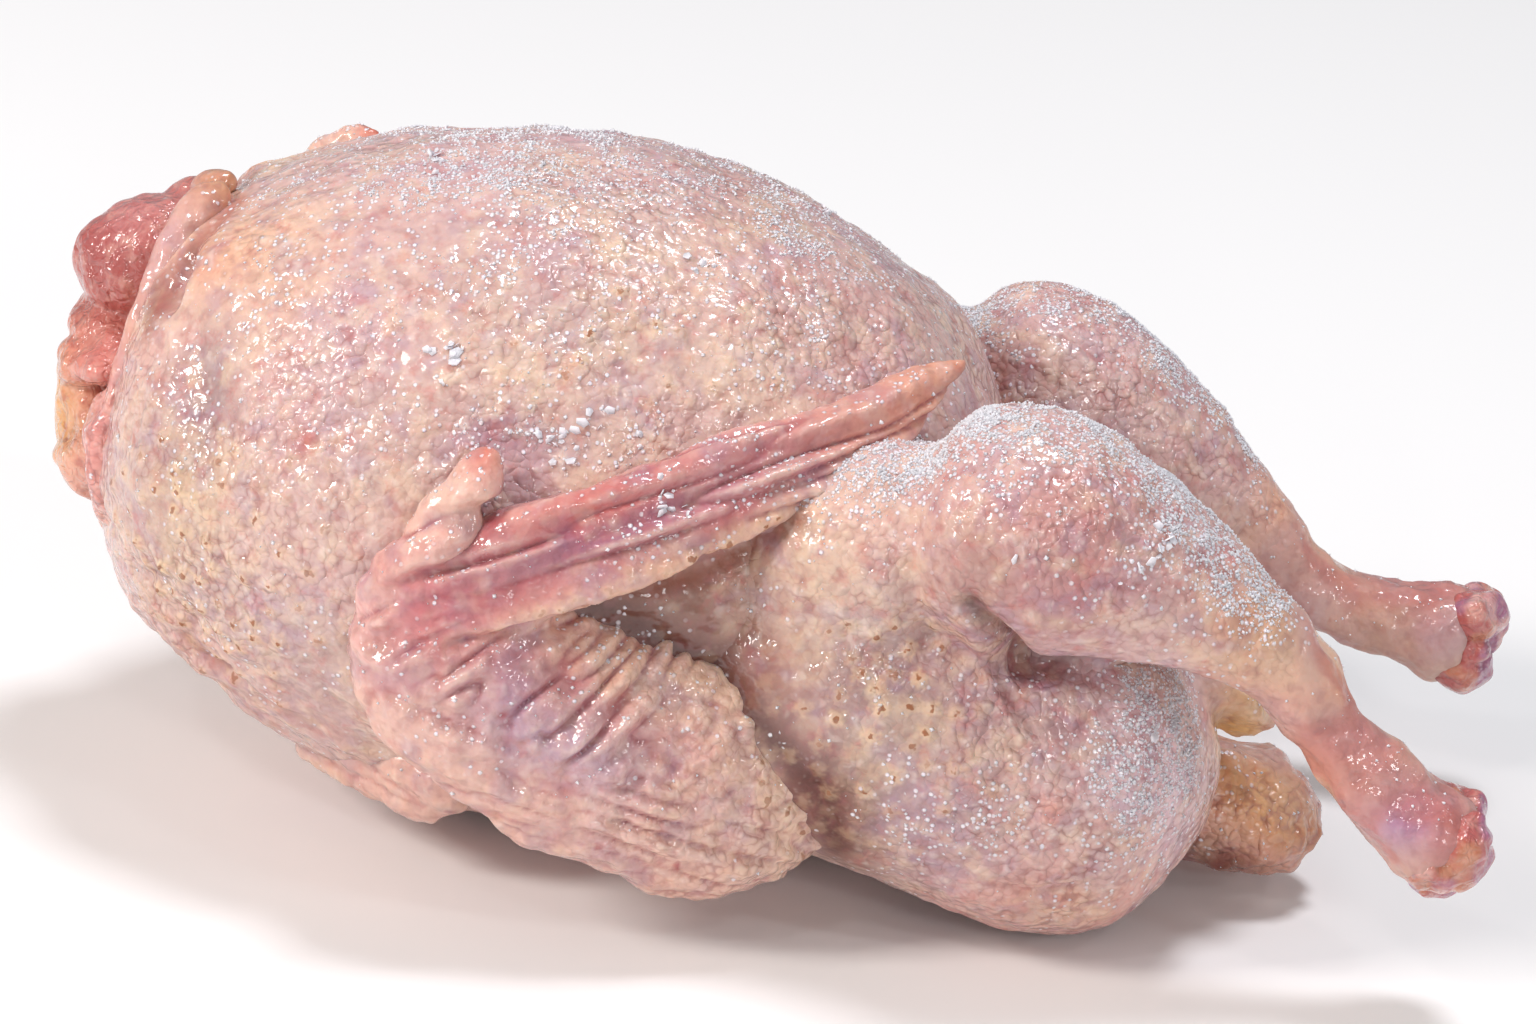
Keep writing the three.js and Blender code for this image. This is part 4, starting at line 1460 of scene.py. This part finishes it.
SKIN_PATCHES = (
    Patch("shoulder fat", (-42, -11, 49), (9, 9, 6), "#e4b99b", 0.85),
    Patch("pale keel", (-24, -3, 56), (22, 9, 5), "#cda8a9", 0.6),
    Patch("pink upper breast", (-19, -14, 53), (14, 7, 5), "#c6a19c", 0.6),
    Patch("cream mid breast", (-15, -20, 48), (11, 6, 5), "#ceb49d", 0.7),
    Patch("rear breast", (4, -9, 48), (9, 9, 5), "#cda29a", 0.7),
    Patch("violet bruise behind the wrist", (-22, -25, 41), (10, 6, 4.5), "#a47a89", 0.75),
    Patch("violet front furrow", (-44.5, -20, 40), (4, 6, 6), "#a4848c", 0.6),
    Patch("cream lower front", (-47, -21, 28), (8, 9, 9), "#cca875", 0.75),
    Patch("mauve lower breast", (-34, -26, 21), (8, 8, 8), "#b8a09d", 0.7),
    Patch("cream flank", (6, -22, 36), (9, 8, 6), "#efd3ac", 0.75),
    # the flank behind the hand: tan skin with painted shade
    Patch("flank behind the hand", (-3, -25, 32), (7, 6, 5), "#8e4b3b", 0.7),
    Patch("pored flank", (12, -28, 24), (8, 7, 8), "#8c6f6e", 0.7),
    # painted shade on the low flank under the wing's end
    Patch("low flank", (9, -28, 15), (8, 7, 7), "#744430", 0.7),
    Patch("drumstick rose", (24, -29, 41), (9, 7, 5), "#be7c75", 0.75),
    Patch("knee bruise", (19, -31, 36), (4, 5, 4), "#9f7469", 0.7),
    Patch("drumstick end", (39, -24, 32), (6, 7, 6), "#d59980", 0.75),
    Patch("thigh rose", (26, -26, 24), (6, 6, 5), "#997376", 0.7),
    Patch("grey hip", (34, -20, 18), (6, 8, 8), "#eed5e4", 0.7),
    Patch("hip pore", (26.3, -27.5, 16.3), (1.2, 3, 1.2), "#dc8c74", 0.9),
    Patch("hip underside", (28, -24, 7), (9, 8, 6), "#db9783", 0.7),
    Patch("shank tan", (47, -22, 24), (6, 9, 8), "#e5a26e", 0.8),
    Patch("hock skin", (55, -22, 16), (6, 8, 7), "#b78c74", 0.7),
    # the vent's hollow: the cavity's own orange-brown, darkened with painted shade
    Patch("vent", (34, 0, 15), (5, 6, 4), "#8c4430", 0.85),
    Patch("tail tan", (44, -4, 8.5), (9, 9, 7), "#d38246", 0.95),
    Patch("tail fat", (45.5, -6, 9.5), (4.5, 4, 2.6), "#e6b478", 0.9),
    Patch("tail tip", (51, -4, 6), (3.4, 6, 4), "#a8683a", 0.8),
    # painted shade under the tail
    Patch("tail hollow", (41, -8, 3.6), (5, 5, 2.6), "#6e3020", 0.9),
    Patch("vent flap", (40, -8, 19), (4.6, 6, 5.5), "#e8bc74", 1.0),
    Patch("neck skin", (-51, -6, 36), (3.5, 7, 14), "#eab39c", 0.8),
    Patch("orange shoulder", (-46, -10.5, 47.6), (3.6, 4, 3.2), "#e09a7c", 0.6),
    # painted shade: in the gap by the neck rim, the gap behind the breast and the notch under the hand
    Patch("gap by the neck rim", (-50.6, -10.4, 42.6), (1.3, 3, 2.6), "#6b2f24", 0.85),
    Patch("gap behind the breast", (17, -12, 34), (5, 7, 6), "#8a3f2a", 0.6),
    Patch("dark under the hand", (-9, -27, 29.5), (6, 8, 4.2), "#4c1c0c", 0.97),
    Patch("shaded flank", (0, -27, 24), (6, 6, 6), "#aa6d57", 0.75),
    Patch("red pit", (-35.4, -25, 38.2), (0.9, 2, 1.3), "#c0502e", 0.9, True),
    Patch("violet flank", (17.8, -28.8, 14.8), (4, 5, 3.5), "#9c808f", 0.6),
    Patch("grey-violet by the furrow", (-44.5, -21, 39), (2, 4, 5), "#927f87", 0.6),
    Patch("tan keel end", (-3, -5, 54), (5, 6, 4), "#b7877c", 0.5),
    Patch("rosy lower drumstick", (26, -30, 36), (6, 5, 4), "#b2767c", 0.6),
    Patch("tan ankle", (40.5, -25, 32.5), (4, 5, 4), "#d0a07c", 0.8),
    Patch("violet shank", (48.5, -23.5, 24), (3.5, 4, 2.5), "#a98a9a", 0.7),
    Patch("violet hock film", (54, -26, 18.4), (3, 3, 3), "#a878a0", 0.8),
    Patch("red hock rim", (57.5, -24, 16.5), (2.2, 5, 4.5), "#b0504c", 0.75),
)


FLAKE_SPOTS = (
    (-25, -22.4, 46.1), (-13.5, -24.7, 42.6), (-15.6, -25.8, 41.1), (-9.6, -24.1, 42.5), (-6, -12.1, 52.5),
    (-5.5, -29.5, 39.5), (20.5, -31.8, 38.6), (30, -29.3, 38.9), (32, -27.6, 40.1), (31.5, -24.5, 21),
    (-15, 21, 45), (20, 30, 38), (-30, -4, 56), (2, 4, 52),
)


@dataclass
class Frost:
    """Loose frost: fine crystals on the upper skin, and a few larger flakes."""

    grains: int = 28000
    flakes: int = 110
    seed: int = 7
    grain_tilt: float = 0.3
    flake_tilt: float = 0.7
    jitter: float = 0.12
    flake_spread: float = 1.3

    def scatter(
        self,
        name: str,
        crystal: bpy.types.Mesh,
        places: np.ndarray,
        normals: np.ndarray,
        sizes: np.ndarray,
        tilt: float,
        finish: bpy.types.Material,
    ) -> bpy.types.Object:
        """Makes one piece of many turned and sized copies of a crystal.

        Args:
            name: The piece's name.
            crystal: The crystal's mesh, about 1 across.
            places: Where each copy sits, in millimetres in the bird's frame.
            normals: The skin's normal at each.
            sizes: Each copy's size in millimetres.
            tilt: How far the copies lean from the skin's normal; it also seeds the turns.
            finish: The crystals' material.

        Returns:
            The piece.
        """
        random = np.random.default_rng(int(100 * tilt))
        count, corners = len(places), len(crystal.vertices)
        shape = np.empty(corners * 3, np.float32)
        crystal.vertices.foreach_get("co", shape)
        shape = shape.reshape(-1, 3)
        axis = normals + tilt * random.normal(size=(count, 3))
        axis /= np.linalg.norm(axis, axis=1)[:, None]
        side = np.cross(axis, random.normal(size=(count, 3)))
        side /= np.linalg.norm(side, axis=1)[:, None]
        turn = np.stack([side, np.cross(axis, side), axis], axis=2)
        stretch = random.uniform(0.75, 1.25, size=(count, 1, 3))
        points = np.einsum("nij,nkj->nki", turn, shape[None] * stretch) * sizes[:, None, None]
        points = (points + places[:, None] + CENTRE) * MM
        loops = np.empty(len(crystal.loops), np.int32)
        crystal.loops.foreach_get("vertex_index", loops)
        totals = np.empty(len(crystal.polygons), np.int32)
        crystal.polygons.foreach_get("loop_total", totals)
        starts = np.concatenate([[0], np.cumsum(np.tile(totals, count))[:-1]])
        mesh = bpy.data.meshes.new(name)
        mesh.vertices.add(count * corners)
        mesh.vertices.foreach_set("co", points.astype(np.float32).ravel())
        mesh.loops.add(count * len(loops))
        every = loops + corners * np.arange(count)[:, None]
        mesh.loops.foreach_set("vertex_index", every.astype(np.int32).ravel())
        mesh.polygons.add(count * len(totals))
        mesh.polygons.foreach_set("loop_start", starts.astype(np.int32))
        mesh.update(calc_edges=True)
        mesh.validate()
        mesh.materials.append(finish)
        piece = bpy.data.objects.new(name, mesh)
        bpy.context.scene.collection.objects.link(piece)
        return piece

    @staticmethod
    def crystal(name: str, sides: int, foot: float, top: float, height: float) -> bpy.types.Mesh:
        """One crystal: a blunt or pointed column.

        Args:
            name: The mesh's name.
            sides: Its sides.
            foot: The radius of its lower end.
            top: The radius of its upper end.
            height: Its height.

        Returns:
            The crystal, about 1 across.
        """
        bm = bmesh.new()
        bmesh.ops.create_cone(bm, cap_ends=True, segments=sides, radius1=foot, radius2=top, depth=height)
        mesh = bpy.data.meshes.new(name)
        bm.to_mesh(mesh)
        bm.free()
        return mesh

    @staticmethod
    def weights(skin: Surface) -> np.ndarray:
        """How much loose frost each of a skin's points gets.

        Args:
            skin: A skin with a frost attribute.

        Returns:
            A weight for each point: most on crests, and none underneath.
        """
        values = np.empty(len(skin.points), np.float32)
        skin.mesh.attributes["frost"].data.foreach_get("value", values)
        crest = np.clip(-skin.hollowness(6) * 8, 0, 1)
        clumps = smoothstep(-0.1, 0.8, grain(skin.points, 2.2, 81, 2))
        weight = (np.clip(values - 0.2, 0, 1) ** 1.7 * (0.25 + clumps) + 0.0008) * (0.4 + 1.2 * crest)
        # each point stands for its share of the piece's area
        area = sum(face.area for face in skin.mesh.polygons)
        return weight * (smoothstep(-0.6, 0.6, skin.normals[:, 2]) * area / len(skin.points))

    def build(
        self, pieces: list[bpy.types.Object], ice: bpy.types.Material, clear: bpy.types.Material
    ) -> list[bpy.types.Object]:
        """Scatters the frost over the skins.

        Args:
            pieces: The pieces that carry a frost attribute.
            ice: The granules' material.
            clear: The flakes' material.

        Returns:
            The two pieces.
        """
        random = np.random.default_rng(self.seed)
        skins = [Surface(piece) for piece in pieces]
        points = np.vstack([skin.points for skin in skins])
        normals = np.vstack([skin.normals for skin in skins])
        weights = np.concatenate([self.weights(skin) for skin in skins])
        chance = weights / weights.sum()
        chosen = random.choice(len(points), self.grains, p=chance)
        sizes = 0.13 + 0.3 * random.random(self.grains) ** 2.5
        out = normals[chosen]
        jitter = random.normal(size=(self.grains, 3)) * self.jitter
        jitter -= out * (jitter * out).sum(axis=1)[:, None]
        places = points[chosen] + out * (0.2 * sizes)[:, None] + jitter
        granule = self.crystal("granule", 4, 0.56, 0.0, 0.62)
        granules = self.scatter("frost_granules", granule, places, out, sizes, self.grain_tilt, ice)
        upper = np.flatnonzero(normals[:, 2] > 0.1)
        away = np.min([np.linalg.norm(points[upper] - s, axis=1) for s in FLAKE_SPOTS], axis=0)
        share = band(away, 0, self.flake_spread) + 0.01 * chance[upper] / chance.max()
        picked = upper[random.choice(len(upper), self.flakes, p=share / share.sum())]
        sizes = 0.35 + 0.75 * random.random(self.flakes) ** 1.8
        out = normals[picked]
        flake = self.crystal("flake", 5, 0.5, 0.44, 0.06)
        places = points[picked] + out * 0.1
        flakes = self.scatter("frost_flakes", flake, places, out, sizes, self.flake_tilt, clear)
        return [granules, flakes]


@dataclass
class Studio:
    """A pale table, soft light and the camera at the photo's angle."""

    azimuth: float = 3.0
    elevation: float = 22.0
    roll: float = 6.0
    distance_mm: float = 450.0
    lens: float = 126.5625
    sensor_width: float = 36.0
    target_mm: Triple = (-1.5, 0.0, 27.2)
    lamps_aim: Triple = (0, 0, 0.03)
    table_half: float = 3.0
    table_drop: float = 0.0002

    def camera(self) -> None:
        """Places the camera."""
        a, e, r = (math.radians(v) for v in (self.azimuth, self.elevation, self.roll))
        back = Vector((math.sin(a) * math.cos(e), -math.cos(a) * math.cos(e), math.sin(e)))
        right = Vector((math.cos(a), math.sin(a), 0))
        up = back.cross(right)
        across = math.cos(r) * right + math.sin(r) * up
        above = back.cross(across)
        data = bpy.data.cameras.new("camera")
        data.lens, data.sensor_width = self.lens, self.sensor_width
        data.clip_start, data.clip_end = 0.01, 20.0
        camera = bpy.data.objects.new("camera", data)
        place = Vector(self.target_mm) * MM + back * self.distance_mm * MM
        turn = Matrix((across, above, back)).transposed().to_4x4()
        camera.matrix_world = Matrix.Translation(place) @ turn
        bpy.context.scene.collection.objects.link(camera)
        bpy.context.scene.camera = camera

    def softbox(self, name: str, place: Triple, size: float, watts: float, colour: str) -> None:
        """Adds a square soft light that faces the bird.

        Args:
            name: The lamp's name.
            place: Where it stands, in metres.
            size: Its width in metres.
            watts: Its power.
            colour: Its sRGB hex colour.
        """
        data = bpy.data.lights.new(name, "AREA")
        data.shape, data.size, data.energy = "SQUARE", size, watts
        data.color = hex_linear(colour)[:3]
        lamp = bpy.data.objects.new(name, data)
        lamp.location = place
        lamp.rotation_euler = (Vector(self.lamps_aim) - Vector(place)).to_track_quat("-Z", "Y").to_euler()
        bpy.context.scene.collection.objects.link(lamp)

    def table(self) -> None:
        """Places a matt white board under the bird: it takes the bird's faint shadow."""
        bm = bmesh.new()
        bmesh.ops.create_grid(bm, x_segments=1, y_segments=1, size=self.table_half)
        mesh = bpy.data.meshes.new("table")
        bm.to_mesh(mesh)
        bm.free()
        board = {"Base Color": hex_linear("#f7f6f5"), "Roughness": 0.85}
        mesh.materials.append(even_material("matt_white_board", board))
        table = bpy.data.objects.new("table", mesh)
        table.location.z = -self.table_drop
        bpy.context.scene.collection.objects.link(table)

    def build(self) -> None:
        """Builds the table, lights, world and camera."""
        self.table()
        world = bpy.data.worlds.new("studio")
        world.use_nodes = True
        sky = world.node_tree.nodes["Background"]
        sky.inputs["Color"].default_value = hex_linear("#eef1f5")
        sky.inputs["Strength"].default_value = 0.3
        bpy.context.scene.world = world
        self.softbox("key", (-0.64, -0.36, 0.52), 0.2, 4.6, "#fff8f2")
        self.softbox("top", (0.1, 0.1, 0.9), 0.2, 4.0, "#f8f9ff")
        self.softbox("fill", (0.35, -0.8, 0.45), 0.12, 0.9, "#ffffff")
        # small lamps all round give the wet skin its many points of light
        spots = (
            (-0.25, -0.6, 0.75), (0.5, -0.5, 0.75), (-0.75, -0.5, 0.15), (0.1, -0.9, 0.2), (0.75, -0.3, 0.4),
        )
        for order, place in enumerate(spots):
            self.softbox(f"lamp_{order}", place, 0.06, 0.42, "#ffffff")
        bpy.context.scene.view_settings.view_transform = "Standard"
        self.camera()


NEAR_LEG = Leg(Side.NEAR, (12, 35.2), (22, 36.9), (43.2, 28.8), (47.8, 22.8), (57.4, 15))
FAR_LEG = Leg(Side.FAR, (12, 33.2), (22.2, 31.4), (44.8, 18.8), (50.4, 16), (60.2, 15.2))
NEAR_WING = Wing(
    Side.NEAR,
    forearm=(
        (-29.6, 29.2, 27), (-22.6, 30.2, 23.2), (-14.6, 29.8, 19.5), (-6.4, 28, 15.9), (0.8, 26, 12.6),
        (8.4, 24, 9.4),
    ),
    hand=(
        (-30, 29.2, 27), (-23, 30.8, 29), (-16, 30.4, 32.6), (-8, 28.6, 36.4), (0, 25, 40), (8, 19, 43),
        (15.4, 12.6, 47.6),
    ),
    thumb=((-27.4, 29.8, 28.6), (-25, 31, 32.8), (-22.6, 30.4, 37), (-20.2, 29, 41.2)),
    shoulder=((-38, 10, 8.4), (-30, 16.4, 9), (-20, 23, 11.6)),
)
FAR_WING = Wing(
    Side.FAR,
    forearm=(
        (-43, 23.6, 40), (-37, 26.4, 34.6), (-29.5, 29, 29), (-21, 30.4, 23), (-13, 29.6, 17.6),
        (-5.5, 27, 13),
    ),
    hand=(
        (-43, 23.6, 40), (-36, 27, 39), (-28, 29.4, 37.6), (-19, 30.4, 36), (-10, 29.8, 34.6),
        (-1, 27.6, 33.4), (7, 25, 33),
    ),
    thumb=((-43.4, 23.6, 41), (-42.6, 23.4, 44.4), (-40.6, 22.6, 46.9), (-37.4, 21.8, 48.9)),
    shoulder=((-40, 11, 9), (-33, 18, 12.6), (-26, 24.6, 18.6)),
)


def main() -> None:
    """Builds the bird and its studio, and reports each piece."""
    skin = PoultrySkin().build()
    wing_skin = PoultrySkin("raw_quail_wing_skin", plate_mm=0.7, mottle_mm=2.4, plate_height_mm=0.16).build()
    flesh = WetFlesh().build()
    ice = Ice("frost_crystals", "#f4f0f7", 0.3).build()
    clear = Ice("clear_ice_flakes", "#ece8f1", 0.15).build()
    bird = Bird(Trunk(), (NEAR_LEG, FAR_LEG), Neck())
    skins = [bird.breast(skin), bird.rear(skin)]
    skins += [wing.build(wing_skin) for wing in (NEAR_WING, FAR_WING)]
    pieces = [*skins, bird.neck.rim(skin), bird.neck.flesh(flesh), bird.gristle(flesh)]
    pieces += Frost().build(skins, ice, clear)
    for piece in pieces:
        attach(piece, "root")
        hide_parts(NODE)
        triangles = sum(len(face.vertices) - 2 for face in piece.data.polygons)
        LOG.info("%s: %d triangles", piece.name, triangles)
    Studio().build()


if __name__ == "__main__":
    logging.basicConfig(level=logging.INFO, format="%(message)s")
    main()
